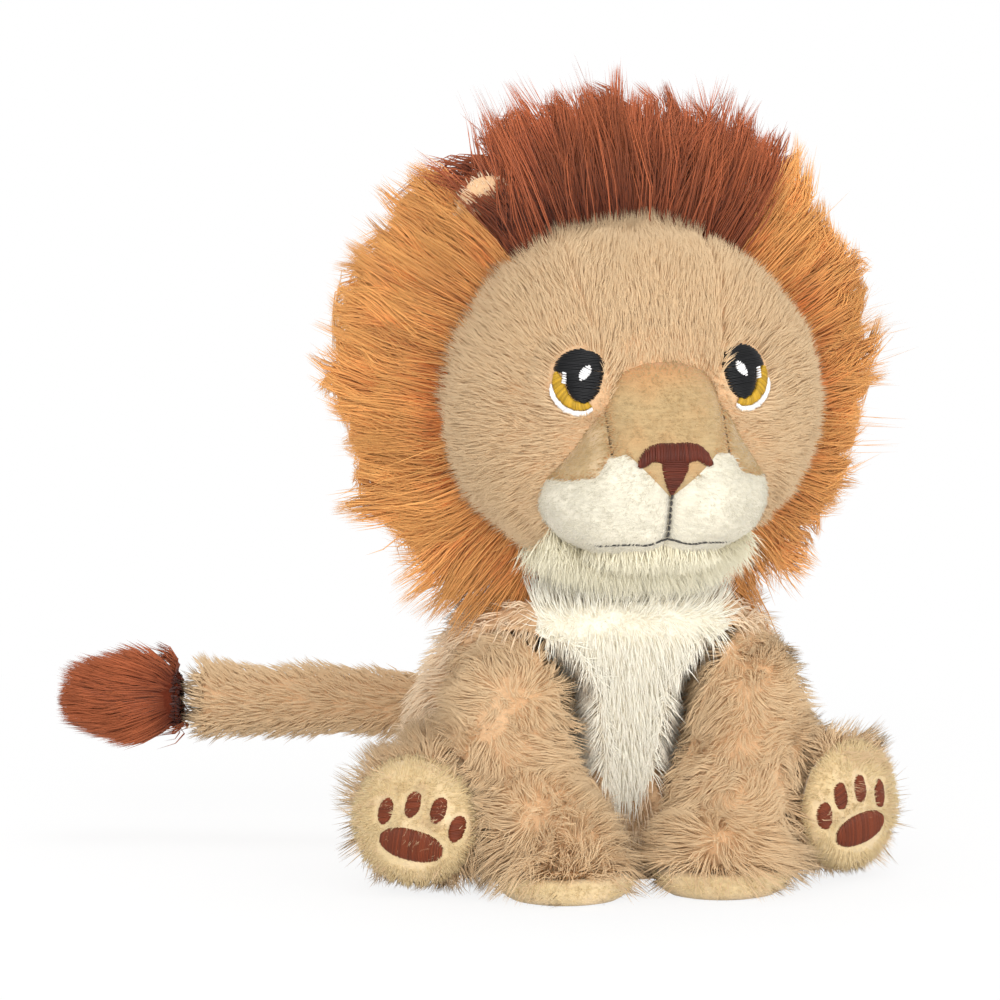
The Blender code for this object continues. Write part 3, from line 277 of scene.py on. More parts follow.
def skin_sheet(name, colour):
    """Material of the knitted back of a plush, seen between the strands."""
    sheet = Sheet(name, Roughness=0.95, Specular_IOR_Level=0.1)
    grain = sheet.noise(sheet.place(), 900, 3)
    sheet.colour(sheet.mix(grain, toned(colour, 0.8), colour))
    sheet.bump(grain, 0.8 * MM)
    return sheet.material


def velboa_sheet(name, colour, shade, rib=(260, 260, 1500), brow_shadow=None):
    """Material of a short brushed cloth with its nap in fine ribs, with painted shadow in its second colour
    above the brow's heights.
    """
    sheet = Sheet(name, Roughness=0.85, Specular_IOR_Level=0.2, Sheen_Weight=0.35, Sheen_Roughness=0.45)
    ribs = sheet.stretched_noise(rib, 3)
    fuzz = sheet.noise(sheet.place(), 2600, 2)
    cloud = sheet.noise(sheet.place(), 140, 2)
    base = sheet.mix(ribs.within(0.3, 0.7), toned(colour, 0.84), colour)
    base = sheet.mix(cloud.within(0.35, 0.75) * 0.35, base, shade)
    # Painted shadow: above the brow's heights the cloth turns to its second colour, as under overhanging fur
    if brow_shadow:
        base = sheet.mix(sheet.parts(sheet.place())[2].within(*brow_shadow), base, shade)
    sheet.colour(base)
    sheet.bump(ribs * 0.7 + fuzz * 0.5, 0.5 * MM)
    return sheet.material


def thread_sheet(name, colour, roughness=0.5):
    """Material of shiny embroidery thread, each stitch in a tone of its own."""
    sheet = Sheet(name, Roughness=roughness, Specular_IOR_Level=0.3, Sheen_Weight=0.03)
    sheet.colour(sheet.mix(sheet.strand_map()[0], toned(colour, 0.7), toned(colour, 1.2)))
    return sheet.material


def bag_sheet(name, colour):
    """Material of a thin weave."""
    sheet = Sheet(name, Roughness=0.9, Specular_IOR_Level=0.2)
    weave = sheet.stretched_noise((2200, 2200, 700), 1) + sheet.stretched_noise((700, 700, 2200), 1)
    sheet.colour(sheet.mix(weave * 0.5, toned(colour, 0.7), colour))
    sheet.bump(weave, 0.4 * MM)
    return sheet.material


def looks():
    return bpy.context.scene.lion_colours, bpy.context.scene.lion_sizes


# Numbers over many places at once


def unit(vectors):
    return vectors / np.maximum(np.linalg.norm(vectors, axis=-1, keepdims=True), 1e-9)


def smooth_share(values, low, high):
    share = np.clip((values - low) / (high - low), 0, 1)
    return share * share * (3 - 2 * share)


def ripple(points, size, seed):
    """A smooth random value, about -1 to 1, that changes over about this size."""
    rng = np.random.default_rng(seed)
    waves = rng.normal(size=(14, 3)) * (1.7 / size)
    phases = rng.random(14) * 2 * math.pi
    return np.sin(points @ waves.T + phases).sum(1) / math.sqrt(14)


def swirl(points, size, seed):
    """A smooth random direction at each point."""
    return np.stack([ripple(points, size, seed + k) for k in range(3)], 1)


def smooth_rows(rows, count):
    """The rows drawn again, evenly spaced, along a smooth curve through each column."""
    table = np.array(rows, float)
    slopes = np.gradient(table, axis=0)
    drawn = []
    for stop in np.linspace(0, len(table) - 1, count):
        first = min(int(stop), len(table) - 2)
        t = stop - first
        start = (2 * t**3 - 3 * t**2 + 1) * table[first] + (t**3 - 2 * t**2 + t) * slopes[first]
        finish = (3 * t**2 - 2 * t**3) * table[first + 1] + (t**3 - t**2) * slopes[first + 1]
        drawn.append(start + finish)
    return np.array(drawn)


def flat_to(normals, vectors):
    """The vectors with what points along the normals taken out."""
    return vectors - normals * (vectors * normals).sum(1, keepdims=True)


# Meshes


def add_piece(name, mesh, materials, body, replaced=()):
    obj = bpy.data.objects.new(name, mesh)
    bpy.context.scene.collection.objects.link(obj)
    for material in materials:
        mesh.materials.append(material)
    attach(obj, body)
    if replaced:
        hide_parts(*replaced)
    return obj


def mesh_from(name, bm, smooth=True):
    mesh = bpy.data.meshes.new(name)
    bm.to_mesh(mesh)
    bm.free()
    if smooth:
        mesh.shade_smooth()
    return mesh


def ring_loft(rings, sides, across=RIGHT, along=BACK, squareness=2.0):
    """A closed form through rings of a centre, a half width and a half depth."""
    bm = bmesh.new()
    loops = []
    for centre, half_across, half_along in rings:
        ring = bmesh.ops.create_circle(bm, segments=sides, radius=1)["verts"]
        for vert in ring:
            a = math.copysign(abs(vert.co.x) ** (2 / squareness), vert.co.x) * half_across
            b = math.copysign(abs(vert.co.y) ** (2 / squareness), vert.co.y) * half_along
            vert.co = Vector(centre) + Vector(across) * a + Vector(along) * b
        edges = {edge for vert in ring for edge in vert.link_edges}
        loops.append(sorted(edges, key=lambda edge: edge.index))
    for lower, upper in zip(loops, loops[1:]):
        bmesh.ops.bridge_loops(bm, edges=lower + upper)
    for end in (loops[0], loops[-1]):
        bmesh.ops.edgeloop_fill(bm, edges=end)
    bmesh.ops.recalc_face_normals(bm, faces=bm.faces)
    return bm


def in_order(bm):
    """The same form, with its corners and faces in the same order at every run."""
    verts = sorted(bm.verts, key=lambda vert: [round(value / MM, 2) for value in vert.co])
    rank = {vert: number for number, vert in enumerate(verts)}
    faces = []
    for face in bm.faces:
        corners = [rank[vert] for vert in face.verts]
        first = corners.index(min(corners))
        faces.append(corners[first:] + corners[:first])
    ordered = bmesh.new()
    made = [ordered.verts.new(vert.co) for vert in verts]
    for corners in sorted(faces):
        ordered.faces.new([made[number] for number in corners])
    bm.free()
    return ordered


def round_form(centre, halves, sides=64, rings=40, turn=None):
    bm = bmesh.new()
    shape = Matrix.Translation(Vector(centre)) @ (turn or Matrix.Identity(4)) @ Matrix.Diagonal((*halves, 1))
    bmesh.ops.create_uvsphere(bm, u_segments=sides, v_segments=rings, radius=1, matrix=shape)
    return in_order(bm)


def places_of(mesh):
    points = np.empty(len(mesh.vertices) * 3, np.float32)
    mesh.vertices.foreach_get("co", points)
    normals = np.empty(len(mesh.vertices) * 3, np.float32)
    mesh.vertices.foreach_get("normal", normals)
    return points.reshape(-1, 3).astype(float), normals.reshape(-1, 3).astype(float)


def move_places(mesh, points):
    mesh.vertices.foreach_set("co", np.ascontiguousarray(points, np.float32).ravel())
    mesh.update()


def tree_of(node_names):
    """A search tree over the triangles of several CAD nodes."""
    points, faces = [], []
    for name in node_names:
        mesh = frame["nodes"][name].data
        start = len(points)
        points += [vert.co.copy() for vert in mesh.vertices]
        faces += [[start + k for k in polygon.vertices] for polygon in mesh.polygons]
    return BVHTree.FromPolygons(points, faces)


def openness(points, normals, tree, reach):
    """1 where nothing lies within reach along the normal, and 0 where something touches."""
    shares = np.ones(len(points))
    for k, (point, normal) in enumerate(zip(points, normals)):
        distance = tree.ray_cast(Vector(point + normal * 0.1 * MM), Vector(normal), reach)[3]
        if distance is not None:
            shares[k] = distance / reach
    return shares


def middle_of(node):
    """Middle of a CAD node's box."""
    return np.mean(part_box(node), axis=0)


def paint(mesh, chosen):
    """Gives the second material to the faces whose middles are chosen."""
    middles = np.array([polygon.center for polygon in mesh.polygons])
    mesh.polygons.foreach_set("material_index", chosen(middles).astype(np.int32))


def helper_object(name, bm, smooth=True):
    helper = bpy.data.objects.new(name, mesh_from(name, bm, smooth))
    bpy.context.scene.collection.objects.link(helper)
    return helper


def modified(*helpers):
    """The first helper as its modifiers leave it. All the helpers are removed."""
    graph = bpy.context.evaluated_depsgraph_get()
    mesh = bpy.data.meshes.new_from_object(helpers[0].evaluated_get(graph))
    for helper in helpers:
        bpy.data.objects.remove(helper)
    bm = bmesh.new()
    bm.from_mesh(mesh)
    return bm


def swept_skin(name, node_names, inset, others=(), voxel=1.4 * MM):
    """One closed skin over several CAD nodes, drawn in where nothing lies against it."""
    bm = bmesh.new()
    for node in node_names:
        bm.from_mesh(frame["nodes"][node].data)
    bmesh.ops.remove_doubles(bm, verts=bm.verts, dist=0.001 * MM)
    helper = helper_object(name, bm)
    remesh = helper.modifiers.new("voxels", "REMESH")
    remesh.mode = "VOXEL"
    remesh.voxel_size = voxel
    bm = modified(helper)
    keep_largest(bm)
    axes = {"use_axis_x": True, "use_axis_y": True, "use_axis_z": True}
    for _ in range(3):
        bmesh.ops.smooth_vert(bm, verts=bm.verts, factor=0.5, **axes)
    mesh = mesh_from(name, bm)
    points, normals = places_of(mesh)
    free = np.ones(len(points))
    if others:
        free = smooth_share(openness(points, normals, tree_of(others), 5 * MM), 0.3, 1)
    edges = np.empty(len(mesh.edges) * 2, np.int32)
    mesh.edges.foreach_get("vertices", edges)
    neighbours = np.maximum(np.bincount(edges, minlength=len(free)), 1)
    here, there = edges.reshape(-1, 2).T
    for _ in range(4):
        total = np.bincount(here, free[there], len(free)) + np.bincount(there, free[here], len(free))
        free = 0.5 * free + 0.5 * total / neighbours
    move_places(mesh, points - normals * (inset * free[:, None]))
    return mesh, free


def keep_largest(bm):
    """Removes all but the island with the most vertices."""
    waiting = set(bm.verts)
    islands = []
    while waiting:
        island = {waiting.pop()}
        edge_of = list(island)
        while edge_of:
            vert = edge_of.pop()
            for edge in vert.link_edges:
                other = edge.other_vert(vert)
                if other in waiting:
                    waiting.discard(other)
                    island.add(other)
                    edge_of.append(other)
        islands.append(island)
    islands.sort(key=len)
    for island in islands[:-1]:
        bmesh.ops.delete(bm, geom=list(island), context="VERTS")


class Skin:
    """The triangles of a skin, on which strands are rooted."""

    def __init__(self, mesh, free=None):
        mesh.calc_loop_triangles()
        self.points, self.normals = places_of(mesh)
        corners = np.empty(len(mesh.loop_triangles) * 3, np.int32)
        mesh.loop_triangles.foreach_get("vertices", corners)
        self.corners = corners.reshape(-1, 3)
        self.free = np.ones(len(self.points)) if free is None else free

    def scatter(self, count, rng):
        """Random places, normals and openness, evenly over the skin's area."""
        a, b, c = (self.points[self.corners[:, k]] for k in range(3))
        area = np.linalg.norm(np.cross(b - a, c - a), axis=1)
        chosen = self.corners[rng.choice(len(area), count, p=area / area.sum())]
        u, v = rng.random((2, count))
        over = u + v > 1
        u[over], v[over] = 1 - u[over], 1 - v[over]
        weights = np.stack([1 - u - v, u, v], 1)
        places = (self.points[chosen] * weights[..., None]).sum(1)
        normals = unit((self.normals[chosen] * weights[..., None]).sum(1))
        return places, normals, (self.free[chosen] * weights).sum(1)


# Strands and stitches, placed in bulk


# How far a strand's normal leans toward its coat's. Under half, no side of a three-sided strand turns dark
COAT_SHARE = 0.45


class Template:
    """One strand or stitch, cut across at its levels."""

    def __init__(self, levels, sides, pointed):
        bm = bmesh.new()
        raised = Matrix.Translation((0, 0, 0.5))
        top = 0 if pointed else 1
        bmesh.ops.create_cone(
            bm, cap_ends=True, segments=sides, radius1=1, radius2=top, depth=1, matrix=raised
        )
        for level in levels[1:-1]:
            geometry = [*bm.verts, *bm.edges, *bm.faces]
            bmesh.ops.bisect_plane(bm, geom=geometry, plane_co=(0, 0, level), plane_no=(0, 0, 1))
        bm.verts.index_update()
        points = np.array([vert.co for vert in bm.verts])
        around = np.linalg.norm(points[:, :2], axis=1, keepdims=True)
        self.round = np.where(around > 1e-6, points[:, :2] / np.maximum(around, 1e-6), 0)
        self.levels = np.array(levels)
        self.level_of = np.abs(points[:, 2:3] - self.levels[None]).argmin(1)
        self.faces = [[vert.index for vert in face.verts] for face in bm.faces]
        self.column = np.where(around[:, 0] > 1e-6, np.arctan2(points[:, 1], points[:, 0]) / math.pi, 0)
        bm.free()

    def place(self, name, curves, aside, above, radii, tones, coat=None):
        """A mesh with a copy along each curve, and a map of tone and distance along it."""
        count = len(curves)
        level = self.level_of
        offset = aside[:, None] * self.round[None, :, :1] + above[:, None] * self.round[None, :, 1:]
        points = curves[:, level] + offset * radii[:, level, None]
        flat = np.concatenate([np.array(face) for face in self.faces])
        starts = np.cumsum([0] + [len(face) for face in self.faces[:-1]])
        each = np.arange(count)[:, None]
        mesh = bpy.data.meshes.new(name)
        mesh.vertices.add(count * len(level))
        mesh.vertices.foreach_set("co", points.astype(np.float32).ravel())
        mesh.loops.add(count * len(flat))
        mesh.loops.foreach_set("vertex_index", (flat[None] + each * len(level)).astype(np.int32).ravel())
        mesh.polygons.add(count * len(starts))
        mesh.polygons.foreach_set("loop_start", (starts[None] + each * len(flat)).astype(np.int32).ravel())
        mesh.update(calc_edges=True)
        across = np.clip(tones[:, None] + 0.004 * self.column[flat][None], 0, 1)
        along = np.broadcast_to(self.levels[level[flat]][None], across.shape)
        own_map = mesh.uv_layers.new(name=OWN_MAP)
        own_map.data.foreach_set("uv", np.stack([across, along], 2).astype(np.float32).ravel())
        mesh.shade_smooth()
        if coat is not None:
            around = offset + COAT_SHARE * coat[:, None]
            mesh.normals_split_custom_set_from_vertices(unit(around).reshape(-1, 3).tolist())
        return mesh


MIDDLE = Template((0, 0.35, 0.7, 1), 3, True)
SHORT = Template((0, 0.5, 1), 3, True)
STITCH = Template((0, 0.08, 0.25, 0.5, 0.75, 0.92, 1), 5, False)


# Each kind of pile: places drawn, start of its draws, strand, its width in millimetres, most strands
PILES = {
    "torso": (30000, 10, SHORT, 0.42, 11600),
    "chest": (70000, 11, SHORT, 0.32, 8200),
    "neck": (9000, 12, SHORT, 0.36, 1300),
    "front_leg": (30000, 20, SHORT, 0.34, 11200),
    "hind_leg": (30000, 20, SHORT, 0.34, 8200),
    "tail": (9000, 40, SHORT, 0.4, 5200),
    "tuft": (3800, 45, MIDDLE, 0.5, 3800),
    "forehead": (90000, 50, SHORT, 0.32, 8000),
    "cheek": (90000, 50, SHORT, 0.32, 9400),
    "chin": (90000, 54, SHORT, 0.34, 5000),
    "lip": (30000, 55, SHORT, 0.32, 2600),
    "lobe": (40000, 70, SHORT, 0.26, 3200),
    "bridge": (40000, 70, SHORT, 0.26, 5000),
    "front_sole": (14000, 90, SHORT, 0.3, 1500),
    "hind_sole": (14000, 93, SHORT, 0.3, 2300),
    "crown_front": (60000, 100, MIDDLE, 0.5, 6800),
    "crown_back": (60000, 100, MIDDLE, 0.5, 4000),
    "mane_front": (60000, 100, MIDDLE, 0.5, 7600),
    "mane_back": (60000, 100, MIDDLE, 0.5, 4700),
    "ear": (900, 130, SHORT, 0.36, 900),
}


class Pile:
    """The strands of one piece while they are combed."""

    def __init__(self, skin, sizes, kind, number=0):
        samples, start, self.template, width, self.most = PILES[kind]
        self.width = width * MM
        self.seed = sizes.seed + start + number
        self.rng = np.random.default_rng(self.seed)
        self.roots, self.normals, self.free = skin.scatter(samples, self.rng)
        self.lock = None

    def keep(self, chosen):
        """Drops all but the chosen roots, and all beyond the most."""
        chosen = np.flatnonzero(chosen)[:self.most]
        self.roots = self.roots[chosen]
        self.normals = self.normals[chosen]
        self.free = self.free[chosen]

    def lengths(self, usual, least, spread):
        """A length drawn for each strand."""
        return usual * (least + spread * self.rng.random(len(self.roots)))

    def comb(self, first, last, lengths, wild=0.2, sink=0.6 * MM):
        """Curves that leave along the first direction and end toward the last."""
        count = len(self.roots)
        first = unit(unit(first) + self.rng.normal(size=(count, 3)) * wild * 0.6)
        last = unit(unit(last) + self.rng.normal(size=(count, 3)) * wild)
        # No strand starts into its own skin
        depth = (first * self.normals).sum(1, keepdims=True)
        first = unit(first + self.normals * np.maximum(0.25 - depth, 0))
        t = self.template.levels[None, :, None]
        start = (self.roots - self.normals * sink)[:, None]
        path = first[:, None] * (t - t * t / 2) + last[:, None] * (t * t / 2)
        self.curves = start + lengths[:, None, None] * path
        return self

    def reach(self, first, tips, wild, sink, bow):
        """Curves that leave along the first direction and end at the tips."""
        count = len(self.roots)
        start = self.roots - self.normals * sink
        span = np.linalg.norm(tips - start, axis=1, keepdims=True)
        tips = tips + self.rng.normal(size=(count, 3)) * wild * span
        middle = start + unit(unit(first) + self.rng.normal(size=(count, 3)) * wild) * span * bow
        t = self.template.levels[None, :, None]
        start, middle, tips = start[:, None], middle[:, None], tips[:, None]
        self.curves = start * (1 - t) ** 2 + middle * 2 * t * (1 - t) + tips * t * t
        return self

    def wave(self, size, amount, seed):
        """Bends neighbouring strands alike, more toward their tips."""
        levels = len(self.template.levels)
        bend = swirl(self.curves.reshape(-1, 3), size, seed).reshape(-1, levels, 3)
        self.curves += bend * (amount * self.template.levels[None, :, None])
        return self

    def clump(self, spacing, pull, rise=1.3):
        """Draws the tips together into locks about this far apart."""
        count = len(self.roots)
        area = spacing * spacing
        spread = np.ptp(self.roots, axis=0)
        surface = 2 * (spread[0] * spread[1] + spread[1] * spread[2] + spread[2] * spread[0]) * 0.8
        centres = self.rng.choice(count, min(count, max(8, int(surface / area))), replace=False)
        tree = kdtree.KDTree(len(centres))
        for k in centres:
            tree.insert(Vector(self.roots[k]), int(k))
        tree.balance()
        nearest = np.array([tree.find(Vector(root))[1] for root in self.roots])
        strength = pull * (0.75 + 0.5 * self.rng.random(count))
        pulled = np.clip(strength[:, None] * self.template.levels[None] ** rise, 0, 0.95)[..., None]
        self.curves += (self.curves[nearest] - self.curves) * pulled
        self.lock = nearest
        return self

    def make(self, name, material, body, tone_spread=0.5, shade=0, replaced=(), slot=None, lean=0.0):
        count = len(self.roots)
        tones = 0.5 + tone_spread * (self.rng.random(count) - 0.5)
        if self.lock is not None:
            by_lock = np.random.default_rng(self.seed + 1).random(count)
            tones += tone_spread * (by_lock[self.lock] - 0.5)
        tones = np.clip(tones + shade, 0.01, 0.99)
        self.curves[..., 2] = np.maximum(self.curves[..., 2], 0.4 * MM)
        tangent = unit(self.curves[:, -1] - self.curves[:, 0])
        aside = unit(np.cross(self.normals, tangent) + 1e-6)
        above = np.cross(tangent, aside)
        t = self.template.levels[None]
        radii = self.width / 2 * (1 - t**1.8) * (0.8 + 0.4 * self.rng.random(count))[:, None]
        coat = unit(self.normals + lean)
        mesh = self.template.place(name, self.curves, aside, above, radii, tones, coat)
        add_piece(name, mesh, [material], body, replaced)


class Ground:
    """A surface that is stitched on, seen along one direction."""

    def __init__(self, bm, origin, across, up):
        self.tree = BVHTree.FromBMesh(bm)
        self.origin = np.array(origin)
        self.across = np.array(across)
        self.up = np.array(up)
        self.out = np.cross(self.across, self.up)

    def at(self, a, b, height):
        start = self.origin + self.across * a + self.up * b + self.out * 0.03
        hit = self.tree.ray_cast(Vector(start), Vector(-self.out))[0]
        if hit is None:
            hit = self.tree.find_nearest(Vector(start - self.out * 0.03))[0]
        return np.array(hit) + self.out * height


def spaced(line, count):
    """Evenly spaced points along a line."""
    line = np.array(line, float)
    steps = np.linalg.norm(np.diff(line, axis=0), axis=1)
    along = np.concatenate([[0], np.cumsum(steps)])
    stops = np.linspace(0, along[-1], count)
    return np.stack([np.interp(stops, along, line[:, k]) for k in range(2)], 1)


def stitch(name, ground, starts, ends, material, body, replaced, lift, seed, radius=0.26 * MM):
    """Threads laid side by side from each start to its end, sunk into the cloth at both."""
    rng = np.random.default_rng(seed)
    count = len(starts)
    jitter = rng.normal(size=(2, count, 2)) * 0.05 * MM
    starts = np.array(starts) + jitter[0]
    ends = np.array(ends) + jitter[1]
    levels = STITCH.levels
    heights = lift * np.sin(np.pi * np.clip(levels, 0.02, 0.98)) ** 0.35
    heights[0] = heights[-1] = -0.3 * MM
    curves = np.empty((count, len(levels), 3))
    for k in range(count):
        for n, share in enumerate(levels):
            a, b = starts[k] + (ends[k] - starts[k]) * share
            curves[k, n] = ground.at(a, b, heights[n])
    tangent = unit(curves[:, -1] - curves[:, 0])
    aside = unit(np.cross(ground.out[None], tangent) + 1e-9)
    above = np.cross(tangent, aside)
    shape = np.array([0.5, 0.85, 1, 1, 1, 0.85, 0.5])
    radii = radius * shape[None] * (0.92 + 0.16 * rng.random(count))[:, None]
    tones = np.clip(0.5 + 0.35 * rng.normal(size=count), 0.02, 0.98)
    mesh = STITCH.place(name, curves, aside, above, radii, tones)
    add_piece(name, mesh, [material], body, replaced)


# The lion's own surfaces


def head_form():
    return round_form(HEAD, HEAD_HALVES, 96, 64)


EYE_SPREAD = 20.4 * MM
EYE_HEIGHT = 124.6 * MM
EYE_SHAPE = np.array((6.4, 8.0)) * MM


def eye_frame(side):
    """Origin on the head, outward side, up and forward directions of an eye."""
    x = side * EYE_SPREAD
    a = x / HEAD_HALVES[0]
    b = (EYE_HEIGHT - HEAD[2]) / HEAD_HALVES[2]
    origin = np.array((x, HEAD[1] - HEAD_HALVES[1] * math.sqrt(1 - a * a - b * b), EYE_HEIGHT))
    out = unit((origin - HEAD) / HEAD_HALVES**2)
    across = unit(np.cross(UP, out))
    up = np.cross(out, across)
    return origin, across, up, out


def eye_distance(points, side):
    """1 on the eye's outline, less inside it."""
    origin, across, up, out = eye_frame(side)
    offset = points - origin
    a = (offset @ across) / EYE_SHAPE[0]
    b = (offset @ up) / EYE_SHAPE[1]
    far = (offset @ out) < -12 * MM
    return np.where(far, 9, np.sqrt(a * a + b * b))


MUZZLE_CURVE = smooth_rows(MUZZLE_ROWS, 46)


def brow_drop(x, z):
    """How far the muzzle's top is drawn down beside its middle."""
    return 3.4 * MM * (x / (13 * MM)) ** 2 * smooth_share(z, 114 * MM, 128 * MM)


def muzzle_bm():
    """The whole muzzle, with its two lobes, their groove and the dip under the nose."""
    rings = []
    for drop, wide, deep in MUZZLE_CURVE:
        centre = MUZZLE_TOP - UP * drop * MUZZLE_HEIGHT
        rings.append((centre, wide * MUZZLE_HALF_WIDTH, deep * MUZZLE_DEPTH))
    bm = ring_loft(rings, 96, squareness=MUZZLE_SQUARENESS)
    for vert in bm.verts:
        x, y, z = vert.co
        front = smooth_share(-y, 42 * MM, 56 * MM)
        low = smooth_share(-z, -108 * MM, -98 * MM)
        groove = math.exp(-((x / (2.4 * MM)) ** 2)) * low
        lobe = math.exp(-(((abs(x) - 13 * MM) / (9 * MM)) ** 2) - ((z - 96 * MM) / (10 * MM)) ** 2)
        dip = math.exp(-((x / (14 * MM)) ** 2) - ((z - 117 * MM) / (7 * MM)) ** 2)
        vert.co.y += front * (2.2 * MM * groove - 1.6 * MM * lobe + 0.8 * MM * dip)
        vert.co.z -= brow_drop(x, z)
    return bm


def in_muzzle(points, grow):
    """True for points inside the muzzle's form."""
    drops, widths, depths = MUZZLE_CURVE.T
    height = points[:, 2] + brow_drop(np.clip(points[:, 0], -20 * MM, 20 * MM), points[:, 2])
    drop = (MUZZLE_TOP[2] - height) / MUZZLE_HEIGHT
    wide = np.interp(drop, drops, widths) * MUZZLE_HALF_WIDTH + grow
    deep = np.interp(drop, drops, depths) * MUZZLE_DEPTH + grow
    a = np.abs(points[:, 0]) / wide
    b = np.abs(points[:, 1] - MUZZLE_TOP[1]) / deep
    inside = a**MUZZLE_SQUARENESS + b**MUZZLE_SQUARENESS < 1
    margin = grow / MUZZLE_HEIGHT
    return inside & (drop > drops[0] - margin) & (drop < 1 + margin)


CHEST_HEIGHTS = np.array((19.4, 25.9, 38.2, 50.4, 61.9, 72.0)) * MM
CHEST_WIDTHS = np.array((2.4, 5.6, 18.3, 19.7, 23.0, 22.0)) * MM


def on_chest(points):
    width = np.interp(points[:, 2], CHEST_HEIGHTS, CHEST_WIDTHS, left=0)
    return (np.abs(points[:, 0]) < width) & (points[:, 1] < 2 * MM) & (points[:, 2] > CHEST_HEIGHTS[0])


MANE_ROWS = (
    (0.0, 43.0, 39.0, 0.0),
    (6.0, 49.0, 46.5, 1.0),
    (14.0, 53.0, 51.0, 3.0),
    (22.0, 54.0, 52.0, 4.0),
    (31.0, 50.0, 48.0, 4.0),
    (38.0, 40.0, 38.5, 3.0),
    (42.5, 25.0, 24.0, 2.0),
    (44.0, 8.0, 8.0, 1.5),
)
MANE_SKIN_DEPTH = 44 * MM
# The mane's outer reach, in rows of set back, half width, half height and lift
MANE_REACH = np.array((
    (0.4, 43.8, 39.9, 0.0),
    (1.6, 50.8, 49.0, 1.0),
    (7.4, 60.0, 58.2, 3.0),
    (19.0, 66.0, 64.0, 5.0),
    (29.7, 63.4, 61.4, 4.5),
    (40.3, 54.1, 52.5, 3.0),
    (48.2, 38.9, 37.8, 1.0),
    (53.0, 15.8, 15.0, 0.0),
)) * MM
# Set back of a tip, by the share of the skin's depth at which it is rooted
MANE_LEAN = np.array((
    (0, 9), (0.1, 15.5), (0.2, 21), (0.35, 29), (0.55, 38), (0.75, 45.5), (0.9, 50.5), (1, 53),
))
CROWN_ANGLE = math.radians(39)
MANE_HEM = 80 * MM
# Where the mane's front pieces meet its back ones
MANE_SPLIT = HEAD[1] + SEAM_BACK + 15 * MM
EAR_TILT = math.radians(33)
WISP_TOP = 196 * MM


def on_crown(points):
    return np.abs(points[:, 0]) < math.tan(CROWN_ANGLE) * (points[:, 2] - HEAD[2])


def mane_rings(rows):
    """Rings behind the seam, from rows of set back, half width, half height and lift."""
    return [(HEAD + BACK * (SEAM_BACK + back) + UP * lift, wide, tall) for back, wide, tall, lift in rows]


def mane_mesh():
    bm = ring_loft(mane_rings(smooth_rows(MANE_ROWS, 26) * MM), 84, along=UP)
    plane = {"plane_co": (0, 0, MANE_HEM), "plane_no": (0, 0, -1)}
    cut = bmesh.ops.bisect_plane(bm, geom=[*bm.verts, *bm.edges, *bm.faces], clear_outer=True, **plane)
    open_edges = [item for item in cut["geom_cut"] if isinstance(item, bmesh.types.BMEdge)]
    bmesh.ops.edgeloop_fill(bm, edges=open_edges)
    bmesh.ops.recalc_face_normals(bm, faces=bm.faces)
    return mesh_from("mane_skin", bm)


# Operators, each for one piece or a group of like pieces


class LionOperator(bpy.types.Operator):
    bl_options = {"REGISTER", "UNDO"}

    def execute(self, context):
        self.build(*looks())
        return {"FINISHED"}


